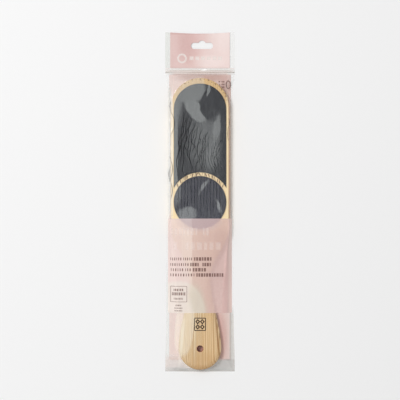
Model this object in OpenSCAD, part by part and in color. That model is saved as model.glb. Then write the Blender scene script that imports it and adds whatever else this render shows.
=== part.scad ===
// Wooden foot file with abrasive pads, lying in its clear printed pouch with a hanging header.
// Lengths are millimetres. The pouch lies on its back: X runs across it, Y runs from its bottom
// fold to its header, and Z points up out of its front. The origin is under the middle.

/* [Wooden paddle] */
// Overall length of the wooden paddle
paddle_len = 270; // [240:1:300]
// Width of the blade
blade_w = 53.3; // [46:0.1:60]
// Thickness of the wood
wood_t = 7; // [6:0.5:10]
// Rounding along the blade's edges
blade_edge_r = 1; // [0.5:0.1:2]
// Distance from the handle's end to where the blade starts to narrow
shoulder_at = 131; // [124:1:138]
// Width of the neck
neck_w = 19.2; // [17:0.1:30]
// Distance from the handle's end to the narrowest place of the neck
neck_at = 85; // [70:1:96]
// Width of the handle's round end
handle_w = 39.4; // [32:0.1:46]
// Rounding along the handle's edges, measured down from its face
handle_edge_r = 2.9; // [1:0.1:2.9]
// Width of that rounding, measured in from the handle's side
handle_edge_w = 5.6; // [2:0.1:7]
// Diameter of the hanging hole
hole_d = 5.8; // [4:0.1:9]
// Chamfer at both mouths of the hanging hole
hole_chamfer = 0.3; // [0.2:0.1:0.8]

/* [Abrasive pads] */
// Bare wood beside the pads
pad_side_margin = 2.35; // [1.5:0.05:5]
// Bare wood above the long pad
pad_top_margin = 5.2; // [3:0.1:9]
// Distance from the handle's end to the centre of the round pad
round_pad_at = 155; // [150:0.1:160]
// Bare wood between the round pad and the long pad
pad_gap = 3.4; // [2:0.1:6]
// Thickness of an abrasive sheet
abrasive_t = 0.7; // [0.4:0.1:1.5]
// Thickness of the adhesive under a sheet
adhesive_t = 0.1; // [0.1:0.05:0.3]
// How far the adhesive stays inside the edge of its sheet
adhesive_inset = 0.3; // [0.1:0.1:1]

/* [Pouch] */
// Flat film beside the blade on each side, before the paddle draws it in
side_room = 5.6; // [5:0.1:9]
// How far the blade draws each side in
blade_draw = 2; // [0:0.1:2.2]
// How far the handle draws each side in
handle_draw = 1; // [0:0.1:2.2]
// Room between the bottom fold and the paddle
bottom_gap = 2; // [1.5:0.1:6]
// Room between the paddle and the mouth
top_gap = 4.7; // [3.5:0.1:8]
// Thickness of the film
film_t = 0.2; // [0.15:0.05:0.3]
// Width of the flat side seams
seam_w = 1.5; // [0.8:0.1:2]
// Flat film at the bottom fold and at the mouth
fold_lead = 0.4; // [0.2:0.1:1]
// Gap between the back film's print and the paddle's rear pads
rest_gap = 0.35; // [0.3:0.05:0.6]
// Gap between the front pads and the film over them
cover_gap = 0.25; // [0.15:0.05:0.5]
// Gap between the paddle's outline and the foot of the film's flat top
wrap_gap = 0.4; // [0.3:0.1:1]
// How far the film sinks in beside the neck, in plan
neck_sag = 2.6; // [0:0.1:3]

/* [Closure and header] */
// Length of the sealing lip
lip_len = 4; // [3.6:0.1:9]
// Length of the adhesive tape under the lip
tape_len = 2.6; // [1.6:0.1:3]
// Thickness of that tape
tape_t = 0.08; // [0.05:0.01:0.08]
// Width of the welded line between pouch and header
weld_w = 0.6; // [0.4:0.1:1.2]
// Gap at each film fold that moves
fold_gap = 0.15; // [0.1:0.05:0.3]
// Height of the header at its corners
header_h = 33.4; // [26:0.1:45]
// How far the header's top edge dips in its middle
header_bow = 1.6; // [0.2:0.1:4]
// Width of the hanging slot
slot_w = 20.4; // [16:0.1:28]
// Height of the hanging slot
slot_h = 5.9; // [5.2:0.1:8]
// Rise of the hump over the slot
slot_hump = 2; // [1:0.1:3]
// Radius of that hump
slot_hump_r = 3.5; // [2.5:0.1:4.5]
// Distance from the top edge to the middle of the slot
slot_down = 12.9; // [10:0.1:16]
// How far the slot lies to the right of the middle
slot_shift = 1.9; // [0:0.1:3]

/* [Print] */
// Thickness of a printed ink layer
ink_t = 0.05; // [0.04:0.01:0.06]
// Clear film beside the header's print
header_print_margin = 4.6; // [2:0.1:6]
// Clear film beside the back print, where the blade draws the pouch in
rear_print_margin = 1.7; // [1:0.1:4]
// Distance from the bottom fold to the back print
rear_print_low = 10.8; // [4:0.1:30]
// Clear film between the back print and the mouth
rear_print_top_gap = 0.9; // [0.7:0.1:3]
// Distance from the bottom fold to the front band
band_low = 54.7; // [45:0.1:70]
// Height of the front band
band_h = 87.3; // [60:0.1:100]

/* [Hidden] */
// Steps round a quarter turn of an outline, and along its three stretches between the two turns
arc_steps = 12;
side_steps = [12, 11, 4];
// How many steps of the border's quarter run up the side before the corner
corner_step = 5;
// Tilts of the rounded edge's rings, from the lower face to the upper one
edge_tilts = [-90, -60, -30, 0, 0, 30, 60, 90];
// Rings of the draped film as shares: way in from the side seam to the flat top (below 0 is the
// border itself), height, and how far the film's thickness points outwards and upwards there
drape_shares = [[-1, 0, 0, 1], [0, 0, 0, 1], [0.3, 0.3, 0.9, 0.45], [0.52, 0.6, 0.9, 0.45],
    [0.72, 0.82, 0.85, 0.55], [0.88, 0.95, 0.6, 0.8], [1, 1, 0.2, 1]];
// Where the pouch starts to be drawn in and over how far, as shares of the distance from the
// bottom fold to the handle's centre, and from the mouth to the blade's
draw_low_shares = [0.2, 2];
draw_high_shares = [0.05, 0.45];
// One overrun for every cut
overrun = 1;
fine = 96;

blade_r = blade_w / 2;
handle_r = handle_w / 2;
pouch_half_w = blade_r + side_room;
paddle_low = bottom_gap;
handle_y = paddle_low + handle_r;
neck_y = paddle_low + neck_at;
shoulder_y = paddle_low + shoulder_at;
blade_y = paddle_low + paddle_len - blade_r;
mouth_y = paddle_low + paddle_len + top_gap;
weld_y = mouth_y + fold_gap + lip_len + fold_gap;
header_y = weld_y + weld_w + fold_gap;
total_len = header_y + header_h;
round_pad_r = blade_r - pad_side_margin;
round_pad_y = paddle_low + round_pad_at;
long_pad_y = paddle_low + paddle_len - pad_top_margin - round_pad_r;
slot_y = total_len - slot_down;

rear_sheet_z = film_t + ink_t + rest_gap;
wood_z = rear_sheet_z + abrasive_t + adhesive_t;
front_glue_z = wood_z + wood_t;
pad_cover_z = front_glue_z + adhesive_t + abrasive_t + cover_gap;
wood_cover_z = front_glue_z + cover_gap;
band_high = band_low + band_h;
pad_low = round_pad_y - round_pad_r;
lip_z = film_t + tape_t;
header_w = 2 * pouch_half_w;

function mix(a, b, share) = a + (b - a) * share;
function smooth(share) =
    let (s = min(1, max(0, share)))
    s * s * (3 - 2 * s);

// Half of the wood's width beside the arcs
function wood_half(y) = y < neck_y
    ? mix(handle_r, neck_w / 2, smooth((y - handle_y) / (neck_y - handle_y)))
    : mix(neck_w / 2, blade_r, smooth((y - neck_y) / (shoulder_y - neck_y)));

// Half of the film's flat top, which spans the neck with a slight waist
function film_half(y) =
    let (share = min(1, max(0, (y - handle_y) / (shoulder_y - handle_y))))
    mix(handle_r, blade_r, smooth(share)) - neck_sag * sin(180 * share) + wrap_gap;

// Height of the film's flat top: low over the bare wood, higher over the pads
function film_top(y) =
    mix(wood_cover_z, pad_cover_z, smooth((y - neck_y) / (pad_low - neck_y)));

// Half of the pouch's width: full at both ends and drawn in over the paddle
function pouch_half(y) =
    let (low = smooth((y / handle_y - draw_low_shares[0]) / draw_low_shares[1]),
         middle = smooth((y - shoulder_y) / (round_pad_y - shoulder_y)),
         left = (mouth_y - y) / (mouth_y - blade_y),
         high = smooth((left - draw_high_shares[0]) / draw_high_shares[1]))
    pouch_half_w - mix(handle_draw, blade_draw, middle) * low * high;

// A closed clockwise ring from its right half, which runs from the top centre to the bottom one
function ring(right) =
    concat(right, [for (i = [len(right) - 2 : -1 : 1]) [-right[i].x, right[i].y]]);

// Stations down the side, with one at each end of the printed band
function side_ys() = concat(
    [for (i = [1 : side_steps[0]]) mix(blade_y, band_high, i / side_steps[0])],
    [for (i = [1 : side_steps[1]]) mix(band_high, band_low, i / side_steps[1])],
    [for (i = [1 : side_steps[2] - 1]) mix(band_low, handle_y, i / side_steps[2])]);

// Points of a quarter turn of radius r about a centre on the axis, from angle a0 down to a1
function turn(r, y, a0, a1) =
    [for (i = [0 : arc_steps]) let (a = mix(a0, a1, i / arc_steps))
        [r * cos(a), y + r * sin(a)]];

// The wood's outline
function wood_ring() = ring(concat(
    turn(blade_r, blade_y, 90, 0),
    [for (y = side_ys()) [wood_half(y), y]],
    turn(handle_r, handle_y, 0, -90)));

// The outline of the film's flat top, and the way its thickness points there
function film_ring() = ring(concat(
    turn(blade_r + wrap_gap, blade_y, 90, 0),
    [for (y = side_ys()) [film_half(y), y]],
    turn(handle_r + wrap_gap, handle_y, 0, -90)));
function film_ways() = ring(concat(
    turn(1, 0, 90, 0),
    [for (y = side_ys()) [1, 0]],
    turn(1, 0, 0, -90)));

// A quarter of the pouch's border, from the side at y_side round the corner to the end at y_end
function border_quarter(y_side, y_end, inset) =
    [for (i = [0 : arc_steps]) i <= corner_step
        ? let (y = mix(y_side, y_end, i / corner_step)) [pouch_half(y) - inset, y]
        : let (share = (i - corner_step) / (arc_steps - corner_step))
          [mix(pouch_half(y_end) - inset, 0, share), y_end]];

// The pouch's border, or the inner edge of its seams, with one point for each of the film's ring
function border_ring(inset, lead) =
    let (top = border_quarter(blade_y, mouth_y - lead, inset),
         low = border_quarter(handle_y, lead, inset))
    ring(concat(
        [for (i = [arc_steps : -1 : 0]) top[i]],
        [for (y = side_ys()) [pouch_half(y) - inset, y]],
        low));

// Unit vector out of a clockwise ring at point i
function outward(points, i) =
    let (n = len(points), d = points[(i + 1) % n] - points[(i + n - 1) % n])
    [-d.y, d.x] / norm(d);

// Depth and width of the wood's rounded edge, small on the blade and large on the handle
function edge_r(y) =
    mix(handle_edge_r, blade_edge_r, smooth((y - neck_y) / (shoulder_y - neck_y)));
function edge_w(y) =
    mix(handle_edge_w, blade_edge_r, smooth((y - neck_y) / (shoulder_y - neck_y)));

// Faces across a ring whose two halves mirror each other, as seen from above. Its first point
// has no partner where tips is 1, and is the partner of its last one where tips is 0.
function crossed_cap(n, first, tips) =
    let (half = n / 2, far = n - 1 + tips)
    [for (i = [0 : half - 2 + tips])
        tips == 1 && i == 0 ? [first, first + 1, first + n - 1]
        : tips == 1 && i == half - 1 ? [first + i, first + half, first + half + 1]
        : [first + i, first + i + 1, first + far - i - 1, first + far - i]];
function turned(faces) = [for (f = faces) [for (i = [len(f) - 1 : -1 : 0]) f[i]]];

// A closed solid through rings of equal length, each clockwise as seen from the last one. Where
// tips is 0 the ring is a thin layer's section, and both its faces are split the same way.
module loft(rings, tips = 1) {
    n = len(rings[0]);
    last = len(rings) - 1;
    points = [for (r = rings) for (p = r) p];
    sides = [for (k = [0 : last - 1]) for (i = [0 : n - 1])
        let (j = (i + 1) % n, a = k * n, b = a + n)
        each tips == 1 || i >= n / 2
            ? [[a + i, a + j, b + j], [a + i, b + j, b + i]]
            : [[a + i, a + j, b + i], [a + j, b + j, b + i]]];
    polyhedron(
        points = points,
        faces = concat(sides, turned(crossed_cap(n, 0, tips)), crossed_cap(n, last * n, tips)),
        convexity = 6);
}

// One ring of the draped film at a distance from its inner face
function film_layer(row, off) =
    let (border = border_ring(0, 0), seam = border_ring(seam_w, fold_lead), top = film_ring(),
         ways = film_ways())
    [for (i = [0 : len(top) - 1])
        let (at = row[0] < 0 ? border[i] : mix(seam[i], top[i], row[0]),
             out = ways[i] * row[2] * off)
        [at.x + out.x, at.y + out.y, mix(film_t, film_top(top[i].y), row[1]) + row[3] * off]];

// A flat strip centred on the pouch, from y0 up to y1
module strip(half_w, y0, y1, t) {
    translate([-half_w, y0, 0])
        cube([2 * half_w, y1 - y0, t]);
}

// Outline of the long pad: a round top, straight sides and a hollow end round the round pad
module long_pad_outline(inset) {
    difference() {
        union() {
            translate([0, long_pad_y])
                circle(r = round_pad_r - inset, $fn = fine);
            translate([inset - round_pad_r, round_pad_y])
                square([2 * (round_pad_r - inset), long_pad_y - round_pad_y]);
        }
        translate([0, round_pad_y])
            circle(r = round_pad_r + pad_gap + inset, $fn = fine);
    }
}

module long_sheet(inset, z, t) {
    translate([0, 0, z])
        linear_extrude(t)
            long_pad_outline(inset);
}

module round_sheet(inset, z, t) {
    translate([0, round_pad_y, z])
        cylinder(r = round_pad_r - inset, h = t, $fn = fine);
}

// Outline of the header with its hanging slot; the top edge dips between its corners
module header_outline(margin, end_margin) {
    half = header_w / 2 - margin;
    steps = 2 * arc_steps;
    top_edge = [for (i = [0 : steps])
        let (x = half * (1 - 2 * i / steps), share = 2 * x / header_w)
        [x, total_len - header_bow * (1 - share * share)]];
    difference() {
        polygon(concat([[-half, header_y + end_margin], [half, header_y + end_margin]], top_edge));
        slot_outline();
    }
}

module slot_outline() {
    reach = slot_w / 2 - slot_h / 2;
    translate([slot_shift, slot_y]) {
        for (side = [-1, 1])
            translate([side * reach, 0])
                circle(d = slot_h, $fn = fine);
        translate([-reach, -slot_h / 2])
            square([2 * reach, slot_h]);
        translate([0, slot_h / 2 + slot_hump - slot_hump_r])
            circle(r = slot_hump_r, $fn = fine);
    }
}

module wood_paddle() {
    outline = wood_ring();
    middle_z = wood_z + wood_t / 2;
    function edge_ring(tilt, upper) = [for (i = [0 : len(outline) - 1])
        let (p = outline[i], r = edge_r(p.y),
             q = p - outward(outline, i) * edge_w(p.y) * (1 - cos(tilt)))
        [q.x, q.y, middle_z + upper * (wood_t / 2 - r) + r * sin(tilt)]];
    half = len(edge_tilts) / 2;
    color("burlywood")
        difference() {
            loft([for (k = [0 : len(edge_tilts) - 1]) edge_ring(edge_tilts[k], k < half ? -1 : 1)]);
            translate([0, handle_y, wood_z - overrun])
                cylinder(d = hole_d, h = wood_t + 2 * overrun, $fn = fine);
            for (side = [-1, 1])
                translate([0, handle_y, middle_z])
                    rotate([side * 90 + 90, 0, 0])
                        hole_mouth();
        }
}

// The cone that chamfers one mouth of the hanging hole, seen from the wood's middle
module hole_mouth() {
    translate([0, 0, wood_t / 2 - hole_chamfer])
        cylinder(r1 = hole_d / 2, r2 = hole_d / 2 + hole_chamfer + overrun,
            h = hole_chamfer + overrun, $fn = fine);
}

module front_long_abrasive() {
    color([0.24, 0.25, 0.27])
        long_sheet(0, front_glue_z + adhesive_t, abrasive_t);
}

module front_long_adhesive() {
    color("wheat")
        long_sheet(adhesive_inset, front_glue_z, adhesive_t);
}

module front_round_abrasive() {
    color([0.27, 0.27, 0.33])
        round_sheet(0, front_glue_z + adhesive_t, abrasive_t);
}

module front_round_adhesive() {
    color("wheat")
        round_sheet(adhesive_inset, front_glue_z, adhesive_t);
}

module rear_long_abrasive() {
    color([0.24, 0.25, 0.27])
        long_sheet(0, rear_sheet_z, abrasive_t);
}

module rear_long_adhesive() {
    color("wheat")
        long_sheet(adhesive_inset, rear_sheet_z + abrasive_t, adhesive_t);
}

module rear_round_abrasive() {
    color([0.27, 0.27, 0.33])
        round_sheet(0, rear_sheet_z, abrasive_t);
}

module rear_round_adhesive() {
    color("wheat")
        round_sheet(adhesive_inset, rear_sheet_z + abrasive_t, adhesive_t);
}

// The flat back film: the drawn-in pouch, and the strip that carries the tape and the weld
module back_film() {
    color([0.93, 0.95, 0.93, 0.4]) {
        linear_extrude(film_t)
            polygon(border_ring(0, 0));
        strip(pouch_half(mouth_y), mouth_y, weld_y + weld_w, film_t);
    }
}

module rear_print() {
    color([0.93, 0.82, 0.79])
        translate([0, 0, film_t])
            strip(pouch_half_w - blade_draw - rear_print_margin, rear_print_low,
                mouth_y - rear_print_top_gap, ink_t);
}

module front_film() {
    rows = len(drape_shares) - 1;
    color([0.95, 0.97, 0.96, 0.3])
        loft(concat(
            [for (k = [rows : -1 : 0]) film_layer(drape_shares[k], 0)],
            [for (k = [0 : rows]) film_layer(drape_shares[k], film_t)]));
}

// The printed band: a layer of ink on the front film, from seam to seam
module band_print() {
    rows = len(drape_shares) - 1;
    first = arc_steps + side_steps[0];
    inner = [for (k = [1 : rows]) film_layer(drape_shares[k], film_t)];
    outer = [for (k = [1 : rows]) film_layer(drape_shares[k], film_t + ink_t)];
    function left(p) = [-p.x, p.y, p.z];
    function section(i) = concat(
        [for (k = [0 : rows - 1]) outer[k][i]],
        [for (k = [rows - 1 : -1 : 0]) left(outer[k][i])],
        [for (k = [0 : rows - 1]) left(inner[k][i])],
        [for (k = [rows - 1 : -1 : 0]) inner[k][i]]);
    color([0.94, 0.80, 0.77])
        loft([for (i = [side_steps[1] : -1 : 0]) section(first + i)], tips = 0);
}

module closure_tape() {
    middle = (mouth_y + weld_y) / 2;
    color([0.9, 0.9, 0.86, 0.6])
        translate([0, 0, film_t])
            strip(pouch_half(mouth_y) - header_print_margin, middle - tape_len / 2,
                middle + tape_len / 2, tape_t);
}

module header_weld() {
    color([0.9, 0.91, 0.88, 0.7])
        translate([0, 0, film_t])
            strip(pouch_half(mouth_y), weld_y, weld_y + weld_w, film_t);
}

module sealing_lip() {
    y0 = mouth_y + fold_gap;
    color([0.95, 0.97, 0.96, 0.5])
        translate([0, 0, lip_z])
            strip(pouch_half(mouth_y), y0, y0 + lip_len, film_t);
}

module header_back_film() {
    color([0.93, 0.95, 0.93, 0.4])
        linear_extrude(film_t)
            header_outline(0, 0);
}

module header_front_film() {
    color([0.93, 0.95, 0.93, 0.4])
        translate([0, 0, film_t])
            linear_extrude(film_t)
                header_outline(0, 0);
}

module header_print() {
    color([0.93, 0.78, 0.76])
        translate([0, 0, 2 * film_t])
            linear_extrude(ink_t)
                header_outline(header_print_margin, ink_t);
}

translate([0, -total_len / 2, 0]) {
    wood_paddle();
    front_long_abrasive();
    front_long_adhesive();
    front_round_abrasive();
    front_round_adhesive();
    rear_long_abrasive();
    rear_long_adhesive();
    rear_round_abrasive();
    rear_round_adhesive();
    back_film();
    rear_print();
    front_film();
    band_print();
    closure_tape();
    header_weld();
    sealing_lip();
    header_back_film();
    header_front_film();
    header_print();
}
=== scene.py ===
"""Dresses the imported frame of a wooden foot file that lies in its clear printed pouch."""

import logging
import math
from dataclasses import dataclass
from enum import Enum
from typing import Callable, Iterable, Sequence

import bpy
import numpy as np
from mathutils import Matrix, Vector


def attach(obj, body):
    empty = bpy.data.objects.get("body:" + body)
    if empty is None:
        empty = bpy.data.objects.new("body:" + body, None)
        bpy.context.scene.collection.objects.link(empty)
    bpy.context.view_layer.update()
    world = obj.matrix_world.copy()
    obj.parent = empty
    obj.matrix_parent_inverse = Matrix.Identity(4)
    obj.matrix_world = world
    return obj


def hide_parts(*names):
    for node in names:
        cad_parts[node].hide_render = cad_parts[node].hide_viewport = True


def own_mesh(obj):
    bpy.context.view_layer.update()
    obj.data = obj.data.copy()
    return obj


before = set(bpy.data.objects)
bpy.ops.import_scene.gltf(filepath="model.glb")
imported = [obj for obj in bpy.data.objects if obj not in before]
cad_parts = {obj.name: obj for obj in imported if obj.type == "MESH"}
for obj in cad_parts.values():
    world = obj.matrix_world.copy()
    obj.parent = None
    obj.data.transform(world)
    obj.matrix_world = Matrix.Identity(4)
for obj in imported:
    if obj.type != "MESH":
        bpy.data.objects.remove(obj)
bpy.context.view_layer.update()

LOG = logging.getLogger("foot_file")
MM = 0.001
TINY = 1e-6
SHARP_EDGE = 60.0
HASH_ACROSS, HASH_ALONG, HASH_SEED, HASH_SPREAD = 127.1, 311.7, 74.7, 43758.5453

Array = np.ndarray
Point = tuple[float, float]
Place = tuple[float, float, float]
Colour = tuple[float, float, float, float]
Face = tuple[int, ...]
Piece = bpy.types.Object
Material = bpy.types.Material
Group = bpy.types.NodeTree
Node = bpy.types.Node
Outputs = bpy.types.NodeOutputs
Socket = bpy.types.NodeSocket


def tone(code: str) -> Colour:
    """Turn a colour as a screen shows it into the linear one that shaders use.

    Args:
        code: six hexadecimal digits, red first.

    Returns:
        The linear colour, opaque.
    """
    parts = [int(code[i : i + 2], 16) / 255 for i in (0, 2, 4)]
    linear = [p / 12.92 if p <= 0.04045 else ((p + 0.055) / 1.055) ** 2.4 for p in parts]
    return (linear[0], linear[1], linear[2], 1.0)


def smooth(share: Array | float) -> Array:
    """Ease a share from 0 to 1, held at both ends."""
    s = np.clip(share, 0.0, 1.0)
    return s * s * (3.0 - 2.0 * s)


def ease(value: Array | float, low: float, high: float) -> Array:
    """Ease from 0 to 1 while a value goes from low to high."""
    return smooth((value - low) / (high - low))


def mix(a: float, b: float, share: Array | float) -> Array:
    """Go from a to b by a share."""
    return a + (b - a) * share


def wave(share: Array | float, rise: float, turn: float, start: float) -> Array:
    """Rise and fall as a sine that turns by so many radians while the share grows by 1."""
    return rise * np.sin(share * turn + start)


def speckle(x: Array, y: Array, seed: float) -> Array:
    """Smooth random heights over a plane, one lattice cell to a unit.

    Args:
        x: places across, in cells.
        y: places along, in cells.
        seed: picks one pattern.

    Returns:
        Heights from -1 to 1.
    """
    ix, iy = np.floor(x), np.floor(y)
    fx, fy = smooth(x - ix), smooth(y - iy)

    def corner(dx: float, dy: float) -> Array:
        """Random height of one lattice corner.

        Args:
            dx: 1 for the corners on the right, else 0.
            dy: 1 for the upper ones, else 0.

        Returns:
            The height, from 0 to 1.
        """
        turn = (ix + dx) * HASH_ACROSS + (iy + dy) * HASH_ALONG + seed * HASH_SEED
        value = np.sin(turn) * HASH_SPREAD
        return value - np.floor(value)

    low = corner(0, 0) * (1 - fx) + corner(1, 0) * fx
    high = corner(0, 1) * (1 - fx) + corner(1, 1) * fx
    return 2.0 * (low * (1 - fy) + high * fy) - 1.0


# Sizes that every sub-assembly shares


@dataclass(frozen=True)
class Layout:
    """Sizes of the paddle and its pouch in millimetres; y runs up from the pouch's bottom fold."""

    total_len: float = 315.15
    blade_r: float = 26.65
    handle_r: float = 19.7
    handle_y: float = 21.7
    neck_y: float = 87.0
    neck_half: float = 9.6
    shoulder_y: float = 133.0
    blade_y: float = 245.35
    wood_z: float = 1.4
    wood_t: float = 7.0
    blade_edge: float = 1.0
    handle_edge: float = 2.9
    handle_edge_w: float = 5.6
    hole_r: float = 2.9
    hole_chamfer: float = 0.3
    pad_r: float = 24.3
    round_pad_y: float = 157.0
    film_t: float = 0.2
    wrap_gap: float = 0.4
    neck_sag: float = 2.6
    pad_cover_z: float = 9.45
    wood_cover_z: float = 8.65
    pouch_half_w: float = 32.25
    draw_low: float = 1.0
    draw_high: float = 2.0
    low_shares: Point = (0.2, 2.2)
    high_shares: Point = (0.05, 0.5)
    bulge_shares: Point = (0.3, 0.7)
    seam_w: float = 1.5
    lead: float = 0.4
    mouth_y: float = 276.7
    band_low: float = 54.7
    band_high: float = 142.0

    @property
    def wood_top(self) -> float:
        """Height of the wood's front face."""
        return self.wood_z + self.wood_t

    def place(self, x: float, y: float, z: float) -> Vector:
        """Point of the row's frame, in metres, for a place in millimetres."""
        return Vector((x, y - self.total_len / 2, z)) * MM

    def place_all(self, points: Array) -> Array:
        """Points of the row's frame, in metres, for an array of places in millimetres."""
        return (points - np.array([0.0, self.total_len / 2, 0.0])) * MM

    def wood_half(self, y: float) -> float:
        """Half of the wood's width at y, between the two round ends.

        Args:
            y: place up from the bottom fold.

        Returns:
            Half of the width there.
        """
        if y < self.neck_y:
            share = ease(y, self.handle_y, self.neck_y)
            return float(mix(self.handle_r, self.neck_half, share))
        share = ease(y, self.neck_y, self.shoulder_y)
        return float(mix(self.neck_half, self.blade_r, share))

    def edge(self, y: float) -> Point:
        """Width and depth of the wood's rounded edge at y.

        Args:
            y: place up from the bottom fold.

        Returns:
            The width and the depth there.
        """
        share = ease(y, self.neck_y, self.shoulder_y)
        width = float(mix(self.handle_edge_w, self.blade_edge, share))
        return width, float(mix(self.handle_edge, self.blade_edge, share))

    def side(self, y: Array) -> Array:
        """Half of the width of the film's flat top at y, between the round ends.

        Args:
            y: places up from the bottom fold.

        Returns:
            Half of the width at each of them.
        """
        share = np.clip((y - self.handle_y) / (self.shoulder_y - self.handle_y), 0, 1)
        half = mix(self.handle_r, self.blade_r, smooth(share)) + self.wrap_gap
        return half - self.neck_sag * np.sin(math.pi * share)

    def top_half(self, y: Array) -> Array:
        """Half of the width of the film's flat top at y, round ends included.

        Args:
            y: places up from the bottom fold.

        Returns:
            Half of the width at each of them.
        """
        half = self.side(y)
        for centre, wood_r, way in (
            (self.blade_y, self.blade_r, 1),
            (self.handle_y, self.handle_r, -1),
        ):
            radius = wood_r + self.wrap_gap
            past = np.clip(way * (y - centre) / radius, 0, 1)
            half = np.where(past > 0, radius * np.sqrt(1 - past**2), half)
        return half

    def pouch_half(self, y: Array) -> Array:
        """Half of the pouch's width at y, drawn in a little between its two ends.

        Args:
            y: places up from the bottom fold.

        Returns:
            Half of the width at each of them.
        """
        low = ease(y / self.handle_y, *self.low_shares)
        middle = ease(y, self.shoulder_y, self.round_pad_y)
        left = (self.mouth_y - y) / (self.mouth_y - self.blade_y)
        high = ease(left, *self.high_shares)
        return self.pouch_half_w - mix(self.draw_low, self.draw_high, middle) * low * high

    def film_z(self, x: Array, y: Array) -> Array:
        """Height of the front film over the pouch's back, without its wrinkles.

        Args:
            x: places across the pouch.
            y: places up from the bottom fold.

        Returns:
            The height at each place.
        """
        inward = np.abs(x) - self.side(y)
        high = np.hypot(x, y - self.blade_y) - self.blade_r - self.wrap_gap
        low = np.hypot(x, y - self.handle_y) - self.handle_r - self.wrap_gap
        out = np.where(y > self.blade_y, high, np.where(y < self.handle_y, low, inward))
        out = np.maximum(out, 0.0)
        room = np.minimum(self.pouch_half(y) - self.seam_w - np.abs(x), y - self.lead)
        room = np.maximum(np.minimum(room, self.mouth_y - self.lead - y), 0.0)
        s = room / np.maximum(room + out, TINY)
        low_bulge, high_bulge = self.bulge_shares
        s = s + low_bulge * s**2 * (1 - s) + high_bulge * s**3 * (1 - s)
        rise = ease(y, self.neck_y, self.round_pad_y - self.pad_r)
        top = mix(self.wood_cover_z, self.pad_cover_z, rise)
        return self.film_t + (top - self.film_t) * s + self.film_t / 2


LAYOUT = Layout()


@dataclass(frozen=True)
class Drape:
    """The front film's surface: the draped height with its wrinkles and pleats."""

    layout: Layout
    fine_h: float = 0.045
    broad_h: float = 0.05
    pucker_h: float = 0.22
    pleat_h: float = 0.42
    shoulder_w: float = 2.5
    rim_w: float = 1.2
    fan_x: float = 35.0
    fan_y: float = 4.0
    corner_x: float = 31.0
    least_gap: float = 0.08
    least_top: float = 0.3
    wall_power: float = 1.15
    warp_w: float = 3.0
    warp_cell: Point = (14.0, 30.0)
    fine_cell: Point = (1.5, 17.0)
    broad_cell: Point = (6.0, 26.0)
    pucker_cell: Point = (5.0, 5.5)
    crinkle_cell: Point = (3.0, 2.6)
    pucker_shift: float = 45.0
    left_from: float = 6.0
    left_w: float = 22.0
    right_share: float = 0.35
    mouth_rim: float = 1.5
    fold_rim: float = 0.8

    @staticmethod
    def rises(x: Array, y: Array, cell: Point, seed: float) -> Array:
        """Random rises from -1 to 1 with cells of one size."""
        return speckle(x / cell[0], y / cell[1], seed)

    def pleats(self, x: Array, y: Array) -> Array:
        """Pleats that fan out in the four corners, from about -1 to 1 high.

        Args:
            x: places across the pouch.
            y: places up from the bottom fold.

        Returns:
            The rise at each place, as a share of a pleat's height.
        """
        total = np.zeros_like(x)
        for away, reach_x, reach_y, folds, turn in (
            (self.layout.mouth_y - y, 11, 15, 17, 1.1),
            (y, 14, 19, 14, 0.7),
        ):
            near = np.hypot((np.abs(x) - self.corner_x) / reach_x, away / reach_y)
            angle = np.arctan2(away + self.fan_y, self.fan_x - np.abs(x))
            total = total + np.exp(-(near**2)) * np.sin(angle * folds + np.sign(x) * turn)
        return total

    def wrinkles(self, x: Array, y: Array) -> Array:
        """Small rises and falls of the film, in millimetres.

        Args:
            x: places across the pouch.
            y: places up from the bottom fold.

        Returns:
            What is added to the draped height.
        """
        lay = self.layout
        past = np.abs(x) - lay.top_half(y) + self.shoulder_w
        on_top = 1.0 - smooth(past / self.shoulder_w)
        warp = self.warp_w * self.rises(x, y, self.warp_cell, 3.0)
        fine = self.rises(x + warp, y, self.fine_cell, 1.0)
        broad = self.rises(x + warp, y, self.broad_cell, 2.0)
        much = self.right_share + smooth((self.left_from - x) / self.left_w)
        top = on_top * (self.fine_h * fine * much + self.broad_h * broad)
        pucker = self.rises(x + self.pucker_shift, y, self.pucker_cell, 5.0)
        pucker = pucker + 0.5 * self.rises(x, y, self.crinkle_cell, 6.0)
        rim = smooth((lay.pouch_half(y) - np.abs(x)) / self.rim_w)
        ends = smooth((lay.mouth_y - y) / self.mouth_rim) * smooth(y / self.fold_rim)
        loose = (1.0 - on_top) * rim * ends
        return top + loose * (self.pucker_h * pucker + self.pleat_h * self.pleats(x, y))

    def height(self, x: Array, y: Array) -> Array:
        """Height of the wrinkled film, kept over the back film."""
        draped = self.layout.film_z(x, y) + self.wrinkles(x, y)
        return np.maximum(draped, self.layout.film_t + self.least_gap)

    def columns(self, y: float, flat: int, wall: int, seam: int) -> Array:
        """Places across one row of the film, close together over its side walls.

        Args:
            y: the row's place up from the bottom fold.
            flat: steps from the middle to the edge of the flat top.
            wall: steps down the side wall.
            seam: steps across the flat seam, or 0 to stop at its inner edge.

        Returns:
            The places from left to right.
        """
        lay = self.layout
        border = float(lay.pouch_half(np.array(y)))
        inner = border - lay.seam_w
        edge = max(float(lay.top_half(np.array(y))), self.least_top * lay.handle_r)
        down = np.linspace(0, 1, wall + 1)[1:] ** self.wall_power
        right = np.concatenate([np.linspace(0, edge, flat + 1), edge + (inner - edge) * down])
        if seam:
            right = np.concatenate([right, np.linspace(inner, border, seam + 1)[1:]])
        return np.concatenate([-right[:0:-1], right])


DRAPE = Drape(LAYOUT)

# Mesh tools


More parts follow.
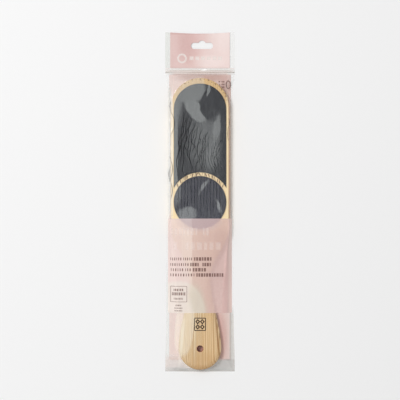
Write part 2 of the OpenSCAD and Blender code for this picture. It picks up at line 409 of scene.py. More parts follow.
def new_piece(name: str, verts: Sequence, faces: Sequence[Face]) -> Piece:
    """Make a smooth-shaded mesh object from points in metres.

    Args:
        name: the piece's name.
        verts: its points in the row's frame.
        faces: its faces, as tuples of point numbers.

    Returns:
        The new object, linked to the scene.
    """
    mesh = bpy.data.meshes.new(name)
    mesh.from_pydata([tuple(v) for v in verts], [], faces)
    mesh.validate()
    mesh.shade_smooth()
    mesh.set_sharp_from_angle(angle=math.radians(SHARP_EDGE))
    piece = bpy.data.objects.new(name, mesh)
    bpy.context.scene.collection.objects.link(piece)
    return piece


def net(rows: int, count: int, closed: bool = False, inward: bool = False) -> list[Face]:
    """Number the faces between rows of points that all have the same count.

    Args:
        rows: how many rows there are.
        count: how many points a row has.
        closed: whether each row's last point joins its first.
        inward: whether the faces turn the other way.

    Returns:
        One face of four points for each place between two rows.
    """
    faces = []
    for low in range(0, (rows - 1) * count, count):
        for i in range(count if closed else count - 1):
            after = (i + 1) % count
            face = (low + i, low + after, low + count + after, low + count + i)
            faces.append((face[0], *face[:0:-1]) if inward else face)
    return faces


def oval(x: float, y: float, half_x: float, half_y: float, steps: int) -> list[Point]:
    """Points round an oval, from its right side on."""
    turns = np.linspace(0, 2 * math.pi, steps, endpoint=False)
    return [(x + half_x * math.cos(a), y + half_y * math.sin(a)) for a in turns]


def sheet_piece(name: str, rows: Sequence[Array]) -> Piece:
    """Make a sheet from rows of places in millimetres, one row above the other."""
    return new_piece(name, LAYOUT.place_all(np.concatenate(rows)), net(len(rows), len(rows[0])))


def cut_piece(piece: Piece, cutter: Piece) -> None:
    """Cut one mesh out of another and delete the cutter.

    Args:
        piece: the object that keeps the result.
        cutter: the closed object to take away.
    """
    cut = piece.modifiers.new("cut", "BOOLEAN")
    cut.operation = "DIFFERENCE"
    cut.solver = "EXACT"
    cut.object = cutter
    graph = bpy.context.evaluated_depsgraph_get()
    made = bpy.data.meshes.new_from_object(piece.evaluated_get(graph))
    piece.modifiers.clear()
    piece.data = made
    bpy.data.objects.remove(cutter)


@dataclass
class Strokes:
    """Gathers flat strokes into one mesh; they follow a surface and lie a little over it."""

    height: Callable[[Array, Array], Array]
    lift: float
    long_line: int = 12
    thin_end: float = 0.35
    bar_step: float = 0.8
    word_gap: float = 2.2

    def __post_init__(self) -> None:
        """Start without any stroke."""
        self.verts: list[Vector] = []
        self.faces: list[Face] = []

    def line(self, points: Sequence[Point], width: float, closed: bool = False) -> None:
        """Add one stroke.

        Args:
            points: its middle line in millimetres.
            width: its width in millimetres, narrower towards open ends of a long line.
            closed: whether the last point joins the first.
        """
        path = np.array(points, float)
        count = len(path)
        if closed:
            ways = np.roll(path, -1, 0) - np.roll(path, 1, 0)
        else:
            ways = np.gradient(path, axis=0)
        ways /= np.maximum(np.linalg.norm(ways, axis=1, keepdims=True), TINY)
        across = np.stack([-ways[:, 1], ways[:, 0]], 1)
        taper = np.ones(count)
        if not closed and count > self.long_line:
            bulge = np.sin(math.pi * np.linspace(0, 1, count)) ** 0.5
            taper = self.thin_end + (1 - self.thin_end) * bulge
        first = len(self.verts)
        for side in (-0.5, 0.5):
            edge = path + across * (side * width * taper)[:, None]
            z = self.height(edge[:, 0], edge[:, 1]) + self.lift
            self.verts += [LAYOUT.place(*p) for p in np.column_stack([edge, z])]
        faces = net(2, count, closed, inward=True)
        self.faces += [tuple(first + i for i in face) for face in faces]

    def dash(
        self, foot: Point, radius: float, turn: float, lean: float, size: Point, steps: int
    ) -> None:
        """Add a short straight stroke that crosses a circle.

        Args:
            foot: the circle's middle.
            radius: its radius.
            turn: where on the circle the stroke lies, in degrees.
            lean: the way that it points, in degrees.
            size: half of its length, and its width.
            steps: how many points it has.
        """
        out, along = (
            np.array([math.cos(math.radians(way)), math.sin(math.radians(way))])
            for way in (turn, lean)
        )
        spot, arm = out * radius + foot, along * size[0]
        self.line(np.linspace(spot - arm, spot + arm, steps).tolist(), size[1])

    def frame(self, ends: Point, low: float, high: float, width: float, steps: int) -> None:
        """Add the four sides of a box.

        Args:
            ends: its left and right side.
            low: its lower side.
            high: its upper side.
            width: how wide its lines are.
            steps: how many points each side has.
        """
        corners = [(ends[0], low), (ends[1], low), (ends[1], high), (ends[0], high)]
        for a, b in zip(corners, corners[1:] + corners[:1]):
            self.line(np.linspace(a, b, steps).tolist(), width)

    def strand(self, x: Array, share: Array, start: float, end: float, width: float) -> None:
        """Add a wavy line that runs along the pouch.

        Args:
            x: its places across.
            share: how far it has come at each of them, from 0 to 1.
            start: its first place along the pouch.
            end: its last one.
            width: how wide it is.
        """
        self.line(list(zip(x, start - (start - end) * share)), width)

    def bar(self, x0: float, x1: float, y0: float, y1: float) -> None:
        """Add a filled bar between two corners, in steps that follow the surface.

        Args:
            x0: its left side.
            x1: its right side.
            y0: its lower side.
            y1: its upper side.
        """
        steps = max(2, int(math.ceil((x1 - x0) / self.bar_step)) + 1)
        middle = (y0 + y1) / 2
        self.line([(x, middle) for x in np.linspace(x0, x1, steps)], y1 - y0)

    def ticks(self, ends: Point, low: float, high: float, words: Sequence[int], gap: float) -> None:
        """Add a row of small upright bars in groups, which stands for a row of print.

        Args:
            ends: the row's left and right ends.
            low: its lower edge.
            high: its upper edge.
            words: how many bars each group has.
            gap: room between two bars, as a share of a bar.
        """
        wide = [0.75 + 0.25 * ((i * 7 + count * 3) % 3) for count in words for i in range(count)]
        room = gap * (len(wide) - len(words)) + self.word_gap * (len(words) - 1)
        unit = (ends[1] - ends[0]) / (sum(wide) + room)
        x, k = ends[0], 0
        for count in words:
            for _ in range(count):
                self.bar(x, x + wide[k] * unit, low, high)
                x += (wide[k] + gap) * unit
                k += 1
            x += (self.word_gap - gap) * unit

    def piece(self, name: str) -> Piece:
        """Make the object that holds all strokes."""
        return new_piece(name, self.verts, self.faces)


# Shader tools


@dataclass
class Tree:
    """Adds nodes to one node tree and links them."""

    tree: Group

    def add(self, kind: str, **settings: object) -> Node:
        """Add one node with its settings.

        Args:
            kind: the node's type without "ShaderNode" before it.
            **settings: properties of the node, by name.

        Returns:
            The new node.
        """
        node = self.tree.nodes.new("ShaderNode" + kind)
        for key, value in settings.items():
            setattr(node, key, value)
        return node

    def feed(self, socket: Socket, value: object) -> None:
        """Link a socket to another one, or set its plain value.

        Args:
            socket: the input.
            value: another node's output, or a plain value.
        """
        if isinstance(value, Socket):
            self.tree.links.new(value, socket)
        else:
            socket.default_value = value

    def feed_all(self, node: Node, **values: object) -> None:
        """Feed sockets of a node by name, with _ for a space."""
        for key, value in values.items():
            self.feed(node.inputs[key.replace("_", " ")], value)

    def math(self, kind: str, a: object, b: object = 0.0, clamp: bool = False) -> Socket:
        """Work out one sum of two values.

        Args:
            kind: the operation's name.
            a: the first value.
            b: the second one.
            clamp: whether the result is held between 0 and 1.

        Returns:
            The result.
        """
        node = self.add("Math", operation=kind, use_clamp=clamp)
        self.feed(node.inputs[0], a)
        self.feed(node.inputs[1], b)
        return node.outputs[0]

    def times(self, a: object, b: object) -> Socket:
        """Multiply two values."""
        return self.math("MULTIPLY", a, b)

    def plus(self, a: object, b: object) -> Socket:
        """Add two values."""
        return self.math("ADD", a, b)

    def minus(self, a: object, b: object) -> Socket:
        """Take one value from another."""
        return self.math("SUBTRACT", a, b)

    def vector(self, kind: str, a: object, b: object) -> Socket:
        """Work out one sum of two vectors.

        Args:
            kind: the operation's name.
            a: the first vector.
            b: the second one.

        Returns:
            The result.
        """
        node = self.add("VectorMath", operation=kind)
        self.feed(node.inputs[0], a)
        self.feed(node.inputs[1], b)
        return node.outputs[0]

    def split(self, vector: Socket) -> Outputs:
        """Take a vector apart into X, Y and Z.

        Args:
            vector: what is taken apart.

        Returns:
            Its parts, by name.
        """
        node = self.add("SeparateXYZ")
        self.feed(node.inputs[0], vector)
        return node.outputs

    def across(self, value: Socket) -> Socket:
        """Make a vector that has a value across and nothing else.

        Args:
            value: what counts across.

        Returns:
            The vector.
        """
        node = self.add("CombineXYZ")
        self.feed(node.inputs[0], value)
        return node.outputs[0]

    def ramp(self, value: object, low: object, high: object, to: Point = (0.0, 1.0)) -> Socket:
        """Ease a value between two limits into a range of its own.

        Args:
            value: what is eased.
            low: where the range starts.
            high: where it ends.
            to: what comes out at the two limits.

        Returns:
            The eased value.
        """
        node = self.add("MapRange", interpolation_type="SMOOTHSTEP")
        self.feed_all(node, Value=value, From_Min=low, From_Max=high, To_Min=to[0], To_Max=to[1])
        return node.outputs["Result"]

    def noise(
        self,
        vector: Socket,
        scale: float,
        detail: float,
        rough: float,
        stretch: Place | None = None,
    ) -> Socket:
        """Add a noise texture.

        Args:
            vector: where on the object.
            scale: cells to a metre.
            detail: how many finer layers it has.
            rough: how much these count.
            stretch: the share of the scale on each axis, if it isn't the same on all.

        Returns:
            The noise's value.
        """
        if stretch:
            vector = self.vector("MULTIPLY", vector, stretch)
        node = self.add("TexNoise")
        self.feed_all(node, Vector=vector, Scale=scale, Detail=detail, Roughness=rough)
        return node.outputs["Fac"]

    def blend(self, share: object, a: object, b: object) -> Socket:
        """Blend two colours by a share.

        Args:
            share: how much of the second colour there is.
            a: the first colour.
            b: the second one.

        Returns:
            The blended colour.
        """
        node = self.add("Mix", data_type="RGBA", blend_type="MIX")
        self.feed(node.inputs[0], share)
        self.feed(node.inputs[6], a)
        self.feed(node.inputs[7], b)
        return node.outputs[2]

    def tint(self, share: object, ground: Socket, code: str) -> Socket:
        """Go from a ground colour towards a plain tone by a share."""
        return self.blend(share, ground, tone(code))

    def bump(self, height: Socket, distance: float, strength: float) -> Socket:
        """Turn a height into a normal.

        Args:
            height: how high each place is.
            distance: how far a height of 1 rises, in metres.
            strength: how much of this counts.

        Returns:
            The normal.
        """
        node = self.add("Bump")
        self.feed_all(node, Strength=strength, Distance=distance, Height=height)
        return node.outputs["Normal"]

    def join(self, share: Socket, a: Socket, b: Socket) -> Socket:
        """Mix two shaders by a share.

        Args:
            share: how much of the second shader there is.
            a: the first shader.
            b: the second one.

        Returns:
            The mixed shader.
        """
        node = self.add("MixShader")
        for i, value in enumerate((share, a, b)):
            self.feed(node.inputs[i], value)
        return node.outputs[0]

    def place(self) -> Socket:
        """Place on the object, in metres of the row's frame."""
        return self.add("TexCoord").outputs["Object"]

    def group(self, group: Group, **values: object) -> Outputs:
        """Place a shared group with its own values, named with _ for a space.

        Args:
            group: the shared group.
            **values: what each input gets, by name.

        Returns:
            The group's outputs.
        """
        node = self.add("Group", node_tree=group)
        self.feed_all(node, **values)
        return node.outputs


def start_group(
    name: str, inputs: Sequence[tuple], outputs: Sequence[str]
) -> tuple[Tree, Outputs, Node]:
    """Start a shared node group.

    Args:
        name: the group's name.
        inputs: name, kind and plain value of each input after the vector.
        outputs: name of each output, all of them values.

    Returns:
        The tree helper, what the group is given, and its output node.
    """
    tree = bpy.data.node_groups.new(name, "ShaderNodeTree")
    tree.interface.new_socket(name="Vector", in_out="INPUT", socket_type="NodeSocketVector")
    for label, kind, value in inputs:
        socket = tree.interface.new_socket(
            name=label, in_out="INPUT", socket_type="NodeSocket" + kind
        )
        socket.default_value = value
    for label in outputs:
        tree.interface.new_socket(name=label, in_out="OUTPUT", socket_type="NodeSocketFloat")
    given, out = tree.nodes.new("NodeGroupInput"), tree.nodes.new("NodeGroupOutput")
    return Tree(tree), given.outputs, out


class Effects:
    """The shader groups that several finishes share, each built once."""

    def __init__(self) -> None:
        """Build every group."""
        self.patch = self.build_patch()
        self.fibres = self.build_fibres()
        self.grit = self.build_grit()
        self.relief = self.build_relief()
        self.edges = self.build_edges()

    @staticmethod
    def build_patch() -> Group:
        """Build a soft spot of any size, turn and squareness on the plan.

        Returns:
            The new node group.
        """
        kit, given, out = start_group(
            "soft_patch",
            [
                ("Centre", "Vector", (0, 0, 0)),
                ("Half", "Vector", (1, 1, 1)),
                ("Turn", "Float", 0.0),
                ("Power", "Float", 2.0),
                ("Softness", "Float", 0.3),
            ],
            ["Mask"],
        )
        away = kit.vector("SUBTRACT", given["Vector"], given["Centre"])
        turned = kit.add("VectorRotate", rotation_type="Z_AXIS")
        kit.feed_all(turned, Vector=away, Angle=given["Turn"])
        share = kit.split(kit.vector("DIVIDE", turned.outputs[0], given["Half"]))
        power, soft = given["Power"], given["Softness"]
        sides = [kit.math("POWER", kit.math("ABSOLUTE", share[i]), power) for i in "XY"]
        reach = kit.math("POWER", kit.plus(*sides), kit.math("DIVIDE", 1.0, power))
        kit.feed_all(out, Mask=kit.ramp(reach, kit.plus(1.0, soft), kit.minus(1.0, soft)))
        return kit.tree

    @staticmethod
    def build_fibres() -> Group:
        """Build long wood fibres, growth lines and pores that run along the part.

        Returns:
            The new node group.
        """
        kit, given, out = start_group(
            "wood_fibres",
            [("Ring Width", "Float", 0.0022)],
            ["Fibres", "Rings", "Pores", "Height"],
        )
        place = given["Vector"]
        fibres = kit.noise(place, 1500, 4, 0.6, (1, 0.03, 1))
        wide = kit.noise(place, 260, 3, 0.55, (1, 0.05, 1))
        wobble = kit.noise(place, 42, 2, 0.5, (1, 0.16, 1))
        parts = kit.split(place)
        across = kit.plus(parts["X"], kit.times(parts["Z"], 0.6))
        across = kit.plus(across, kit.times(wobble, 0.010))
        uneven = kit.noise(kit.across(across), 130, 2, 0.6)
        across = kit.plus(across, kit.times(uneven, 0.006))
        saw = kit.math("FRACT", kit.math("DIVIDE", across, given["Ring Width"]))
        rings = kit.times(kit.ramp(saw, 0.3, 0.9), kit.ramp(saw, 1.0, 0.94))
        rings = kit.times(rings, kit.ramp(wide, 0.3, 0.62, (0.25, 1.0)))
        pores = kit.ramp(kit.noise(place, 2600, 1, 0.5, (1, 0.045, 1)), 0.66, 0.76)
        height = kit.plus(kit.minus(kit.times(fibres, 0.6), pores), kit.times(rings, 0.5))
        woven = kit.plus(kit.times(fibres, 0.5), kit.times(wide, 0.5))
        kit.feed_all(out, Fibres=woven, Rings=rings, Pores=pores, Height=height)
        return kit.tree

    @staticmethod
    def build_grit() -> Group:
        """Build fine grains: an uneven tone, a few that glint, and their height.

        Returns:
            The new node group.
        """
        kit, given, out = start_group(
            "fine_grit", [("Grain", "Float", 0.0004)], ["Tone", "Glint", "Height"]
        )
        place = given["Vector"]
        cells = kit.add("TexVoronoi")
        kit.feed_all(cells, Vector=place, Scale=kit.math("DIVIDE", 1.0, given["Grain"]))
        parts = kit.split(cells.outputs["Color"])
        cloudy = kit.noise(place, 160, 3, 0.6)
        mottled = kit.ramp(kit.noise(place, 620, 2, 0.6), 0.36, 0.64)
        uneven = kit.plus(kit.times(parts["X"], 0.4), kit.times(cloudy, 0.25))
        kit.feed_all(
            out,
            Tone=kit.plus(uneven, kit.times(mottled, 0.35)),
            Glint=kit.ramp(parts["Y"], 0.93, 0.97),
            Height=kit.minus(parts["Z"], cells.outputs["Distance"]),
        )
        return kit.tree

    @staticmethod
    def build_relief() -> Group:
        """Build the unevenness of thin film: drawn lines along it and soft crumples.

        Returns:
            The new node group.
        """
        kit, given, out = start_group(
            "film_relief", [("Crumple", "Float", 0.5)], ["Lines", "Cloud", "Height"]
        )
        place = given["Vector"]
        drift = kit.times(kit.noise(place, 30, 2, 0.5), 0.012)
        pushed = kit.vector("ADD", place, kit.across(drift))
        lines = kit.noise(pushed, 1050, 2, 0.55, (1, 0.05, 0.2))
        cloud = kit.noise(place, 75, 3, 0.6, (1, 0.5, 0.2))
        crumple = kit.noise(pushed, 210, 3, 0.55)
        height = kit.plus(kit.times(lines, 0.5), kit.times(crumple, given["Crumple"]))
        kit.feed_all(out, Lines=lines, Cloud=cloud, Height=height)
        return kit.tree

    @staticmethod
    def build_edges() -> Group:
        """Build a mask of what faces sideways: rounded rims and cut edges.

        Returns:
            The new node group.
        """
        kit, given, out = start_group(
            "side_faces", [("Low", "Float", 0.1), ("High", "Float", 0.8)], ["Mask"]
        )
        normal = kit.add("TexCoord").outputs["Normal"]
        lying = kit.math("ABSOLUTE", kit.split(normal)["Z"])
        torn = kit.noise(given["Vector"], 500, 3, 0.6)
        aside = kit.minus(kit.minus(1.1, lying), kit.times(torn, 0.2))
        kit.feed_all(out, Mask=kit.ramp(aside, given["Low"], given["High"]))
        return kit.tree


@dataclass(frozen=True)
class Patch:
    """A soft spot on the part, in millimetres; strength below 0 clears what lies there."""

    x: float
    y: float
    half_x: float
    half_y: float
    strength: float
    power: float
    soft: float
    colour: str = ""
    turn: float = 0.0

    def mask(self, kit: Tree, effects: Effects, place: Socket) -> Socket:
        """Place the patch in a material and return its mask.

        Args:
            kit: the helper of the material's tree.
            effects: the shared shader groups.
            place: where on the object.

        Returns:
            How much of the patch there is, from 0 to 1.
        """
        return kit.group(
            effects.patch,
            Vector=place,
            Centre=LAYOUT.place(self.x, self.y, 0.0),
            Half=(self.half_x * MM, self.half_y * MM, 1.0),
            Turn=-math.radians(self.turn),
            Power=self.power,
            Softness=self.soft,
        )["Mask"]


@dataclass
class Coat:
    """One material that is being built: its nodes, the shared groups and the place on the part."""

    name: str
    effects: Effects | None = None

    def __post_init__(self) -> None:
        """Start the material with its main shader and its output."""
        self.material = bpy.data.materials.new(self.name)
        self.material.use_nodes = True
        self.material.node_tree.nodes.clear()
        self.kit = Tree(self.material.node_tree)
        self.shader = self.kit.add("BsdfPrincipled")
        self.output = self.kit.add("OutputMaterial")
        self.kit.feed_all(self.output, Surface=self.shader.outputs[0])
        self.where = self.kit.place()

    def paint_patches(self, patches: Iterable[Patch], colour: Socket) -> Socket:
        """Colour a ground with patches, each as strongly as it says; they hold tones and painted
        light and shade alike.

        Args:
            patches: the patches, the lowest layer first.
            colour: the ground's colour.

        Returns:
            The colour with the patches on it.
        """
        for patch in patches:
            mask = patch.mask(self.kit, self.effects, self.where)
            colour = self.kit.tint(self.kit.times(mask, patch.strength), colour, patch.colour)
        return colour

    def gather(
        self, patches: Iterable[Patch], start: Socket | float, place: Socket | None = None
    ) -> Socket | float:
        """Join soft patches in order: the milkiest counts, and one that clears cuts all before it.

        Args:
            patches: the patches, the lowest layer first.
            start: what there is without them.
            place: where on the object, if it isn't the plain place.

        Returns:
            The joined value.
        """
        kit, total = self.kit, start
        where = self.where if place is None else place
        for patch in patches:
            mask = patch.mask(kit, self.effects, where)
            if patch.strength >= 0:
                total = kit.math("MAXIMUM", total, kit.times(mask, patch.strength))
            else:
                total = kit.times(total, kit.minus(1.0, kit.times(mask, -patch.strength)))
        return total

    def let_light_by(self, surface: Socket, also: Socket | None = None) -> None:
        """End the material so that shadows and soft light get through, as through thin film.

        Args:
            surface: what the eye sees of it.
            also: a further mask of where it is clear, if any.
        """
        kit = self.kit
        path = kit.add("LightPath").outputs
        passing = kit.math("MAXIMUM", path["Is Shadow Ray"], path["Is Diffuse Ray"])
        if also is not None:
            passing = kit.math("MAXIMUM", passing, also)
        clear = kit.add("BsdfTransparent").outputs[0]
        kit.feed_all(self.output, Surface=kit.join(passing, surface, clear))


# Finishes


@dataclass(frozen=True)
class WoodFinish:
    """Pale sanded wood with straight grain."""

    name: str = "pale_wood"
    early: str = "D4B180"
    light: str = "EDD8B1"
    late: str = "905F29"
    pore: str = "7E552A"
    blotch: str = "CDA163"
    ring_w: float = 0.0016
    tones_and_painted_light: tuple[Patch, ...] = ()

    def build(self, effects: Effects) -> Material:
        """Make the material.

        Args:
            effects: the shared shader groups.

        Returns:
            The new material.
        """
        coat = Coat(self.name, effects)
        kit, place = coat.kit, coat.where
        grain = kit.group(effects.fibres, Vector=place, Ring_Width=self.ring_w)
        fibres = grain["Fibres"]
        colour = kit.blend(kit.ramp(fibres, 0.34, 0.66), tone(self.early), tone(self.light))
        dense = kit.ramp(kit.split(place)["X"], -0.012, 0.015, (0.65, 1.0))
        colour = kit.tint(kit.times(grain["Rings"], dense), colour, self.late)
        colour = kit.tint(kit.times(grain["Pores"], 0.4), colour, self.pore)
        cloudy = kit.noise(place, 45, 2, 0.5, (1, 0.3, 1))
        colour = kit.tint(kit.ramp(cloudy, 0.42, 0.7, (0.0, 0.4)), colour, self.blotch)
        edges = kit.group(effects.edges, Vector=place, Low=0.8, High=1.05)
        colour = kit.tint(kit.times(edges["Mask"], 0.3), colour, self.pore)
        kit.feed_all(
            coat.shader,
            Base_Color=coat.paint_patches(self.tones_and_painted_light, colour),
            Roughness=kit.ramp(fibres, 0.3, 0.7, (0.62, 0.48)),
            Normal=kit.bump(grain["Height"], 0.00006, 0.6),
        )
        return coat.material


@dataclass(frozen=True)
class GritFinish:
    """Dark abrasive on a paper backing."""

    name: str
    dark: str
    light: str
    glint: str = "8B8F96"
    backing: str = "6B5B49"
    grain: float = 0.00042

    def build(self, effects: Effects) -> Material:
        """Make the material.

        Args:
            effects: the shared shader groups.

        Returns:
            The new material.
        """
        coat = Coat(self.name, effects)
        kit, place = coat.kit, coat.where
        grit = kit.group(effects.grit, Vector=place, Grain=self.grain)
        colour = kit.blend(grit["Tone"], tone(self.dark), tone(self.light))
        colour = kit.tint(kit.times(grit["Glint"], 0.16), colour, self.glint)
        edges = kit.group(effects.edges, Vector=place, Low=0.55, High=0.95)
        kit.feed_all(
            coat.shader,
            Base_Color=kit.tint(kit.times(edges["Mask"], 0.7), colour, self.backing),
            Roughness=kit.ramp(grit["Glint"], 0, 1, (0.86, 0.55)),
            Normal=kit.bump(grit["Height"], 0.0001, 0.6),
        )
        return coat.material


@dataclass(frozen=True)
class InkFinish:
    """Printed ink whose tone changes slowly over the sheet, with patches of tone and of painted
    light and shade.
    """

    name: str
    left: str
    right: str
    tones_and_painted_light: tuple[Patch, ...]
    cover: float = 1.0
    half_w: float = 32.0
    dots: str = "FFFFFF"
    shade: str = "B79A93"

    def build(self, effects: Effects) -> Material:
        """Make the material.

        Args:
            effects: the shared shader groups.

        Returns:
            The new material.
        """
        coat = Coat(self.name, effects)
        kit, place = coat.kit, coat.where
        share = kit.ramp(kit.split(place)["X"], -self.half_w * MM, self.half_w * MM)
        colour = coat.paint_patches(self.tones_and_painted_light, kit.blend(share, tone(self.left), tone(self.right)))
        grit = kit.group(effects.grit, Vector=place, Grain=0.0003)
        colour = kit.tint(kit.times(grit["Tone"], 0.10), colour, self.dots)
        relief = kit.group(effects.relief, Vector=place, Crumple=0.4)
        shade = kit.ramp(relief["Cloud"], 0.35, 0.7, (0.0, 0.10))
        kit.feed_all(
            coat.shader,
            Base_Color=kit.tint(shade, colour, self.shade),
            Roughness=0.38,
            Normal=kit.bump(relief["Height"], 0.00012, 0.5),
        )
        if self.cover < 1:
            alpha = kit.ramp(relief["Cloud"], 0.3, 0.7, (self.cover, self.cover + 0.04))
            kit.feed_all(coat.shader, Alpha=alpha)
            coat.let_light_by(coat.shader.outputs[0])
        return coat.material


@dataclass(frozen=True)
class MarkFinish:
    """A thin printed or burned line that lets a little of its ground through."""

    name: str
    colour: str
    cover: float
    rough: float = 0.5
    fleck: str = "B49A86"
    sheer: bool = False

    def build(self, effects: Effects) -> Material:
        """Make the material.

        Args:
            effects: the shared shader groups.

        Returns:
            The new material.
        """
        coat = Coat(self.name, effects)
        kit = coat.kit
        grit = kit.group(effects.grit, Vector=coat.where, Grain=0.00025)
        alpha = kit.times(kit.ramp(grit["Tone"], 0.2, 0.8, (1.0, 0.88)), self.cover)
        colour = kit.blend(kit.times(grit["Tone"], 0.25), tone(self.colour), tone(self.fleck))
        kit.feed_all(
            coat.shader,
            Base_Color=colour,
            Alpha=alpha,
            Roughness=self.rough,
            Specular_IOR_Level=0.1,
        )
        if self.sheer:
            coat.let_light_by(coat.shader.outputs[0])
        return coat.material


@dataclass(frozen=True)
class FilmFinish:
    """Clear film: see-through with a gloss, and milky where it folds or stands off; its patches
    also hold painted reflections, highlights and shade.
    """

    name: str
    haze: float
    cloud: float
    patches: tuple[Patch, ...] = ()
    strips: tuple[Patch, ...] = ()
    streaks: tuple[Patch, ...] = ()
    tones_and_painted_light: tuple[Patch, ...] = ()
    tint: str = "E6EAE9"
    shade: str = "D3D8D7"
    closed: bool = True
    warp: float = 0.006
    crumple: float = 0.5
    relief_height: float = 0.00017
    most_haze: float = 0.9
    milk_rough: float = 0.4
    gloss_rough: float = 0.14
    gloss_ior: float = 1.36

    def pushed(self, coat: Coat) -> Socket:
        """Place on the film, pushed about so that what lies there gets uneven edges.

        Args:
            coat: the material.

        Returns:
            The pushed place.
        """
        kit = coat.kit
        drift = kit.add("TexNoise")
        kit.feed_all(drift, Vector=coat.where, Scale=75.0, Detail=3.0)
        away = kit.vector("SUBTRACT", drift.outputs["Color"], (0.5, 0.5, 0.5))
        push = kit.vector("MULTIPLY", away, (self.warp, self.warp, 0.0))
        return kit.vector("ADD", coat.where, push)

    def build_haze(self, coat: Coat, relief: Outputs) -> tuple[Socket, Socket]:
        """Build how milky the film is from place to place, painted reflections and highlights
        included, and its colour there.

        Args:
            coat: the material.
            relief: the film's unevenness.

        Returns:
            The share of light that the film scatters, and its colour.
        """
        kit = coat.kit
        haze = kit.ramp(relief["Cloud"], 0.38, 0.68, (self.haze, self.haze + self.cloud))
        colour = kit.blend(relief["Cloud"], tone(self.shade), tone(self.tint))
        # the film's tones, with its painted highlights and shade
        for patch in self.tones_and_painted_light:
            haze = coat.gather([patch], haze)
            if patch.colour:
                colour = kit.tint(patch.mask(kit, coat.effects, coat.where), colour, patch.colour)
        if self.patches:
            haze = coat.gather(self.patches, haze, self.pushed(coat))
        if self.streaks:
            where = coat.gather(self.streaks, 0.0)
            haze = kit.plus(haze, kit.times(where, kit.ramp(relief["Lines"], 0.46, 0.6)))
        haze = coat.gather(self.strips, haze)
        return kit.math("MINIMUM", haze, self.most_haze, clamp=True), colour

    def build(self, effects: Effects) -> Material:
        """Make the material.

        Args:
            effects: the shared shader groups.

        Returns:
            The new material.
        """
        coat = Coat(self.name, effects)
        kit = coat.kit
        relief = kit.group(effects.relief, Vector=coat.where, Crumple=self.crumple)
        haze, colour = self.build_haze(coat, relief)
        normal = kit.bump(relief["Height"], self.relief_height, 0.7)
        kit.feed_all(coat.shader, Base_Color=colour, Roughness=self.milk_rough, Normal=normal)
        clear = kit.add("BsdfTransparent").outputs[0]
        body = kit.join(haze, clear, coat.shader.outputs[0])
        gloss = kit.add("BsdfGlossy")
        kit.feed_all(gloss, Roughness=self.gloss_rough, Normal=normal)
        fresnel = kit.add("Fresnel")
        kit.feed_all(fresnel, IOR=self.gloss_ior, Normal=normal)
        skin = kit.join(fresnel.outputs[0], body, gloss.outputs[0])
        back = kit.add("NewGeometry").outputs["Backfacing"] if self.closed else None
        coat.let_light_by(skin, back)
        return coat.material


# Tones, milky places, and painted light, shade, highlights and reflections

# Where the front film stands off the pads and looks milky, and where it touches and is clear: the
# milky patches are painted reflections of the lamp in the wrinkled film, the small bright ones
# painted highlights
PAD_REFLECTIONS = (
    Patch(0, 160, 24, 24, 0.025, 2, 0.2),
    Patch(0, 218, 24, 44, 0.018, 4, 0.2),
    Patch(-11, 263, 15.5, 14, 0.215, 2.6, 0.16),
    Patch(-20.5, 247, 4.6, 17, 0.19, 2.2, 0.6, turn=-6),
    Patch(5, 214, 14.5, 26, 0.125, 2.2, 0.6),
    Patch(-4, 242, 6.6, 13.2, 0.235, 2.4, 0.2, turn=38),
    Patch(11.2, 247.2, 10.8, 16.2, -0.97, 2.1, 0.05, turn=2),
    Patch(15.2, 257, 4.8, 13, -0.97, 2.4, 0.1, turn=8),
    Patch(7.6, 260.6, 1.8, 6.2, 0.215, 1.2, 0.2, turn=-12),
    Patch(11, 218, 9, 13, 0.14, 1.8, 0.6, turn=-6),
    Patch(15, 223.5, 3.8, 13.5, 0.215, 1.5, 0.4, turn=-10),
    Patch(21.4, 215, 2.8, 40, -0.9, 6, 0.1),
    Patch(10.5, 201, 7.5, 15, 0.17, 2.2, 0.6, turn=-8),
    Patch(4.6, 173, 1.9, 6.2, 0.25, 1.6, 0.5, turn=-38),
    Patch(0.6, 167.4, 1, 3.8, 0.11, 2, 0.5, turn=-40),
    Patch(17.2, 154, 1.5, 6.4, 0.27, 1.6, 0.6, turn=24),
    Patch(-12.2, 146.4, 8.4, 6.4, 0.225, 2.2, 0.3),
    Patch(-20.8, 164.5, 3, 11, 0.16, 2.4, 0.6, turn=-8),
)

# The even milky strip beside the long pad's left edge, a painted reflection in the film
PAD_EDGE_REFLECTION = (
    Patch(-22.5, 212, 1.9, 42, 0.235, 8, 0.12),
)

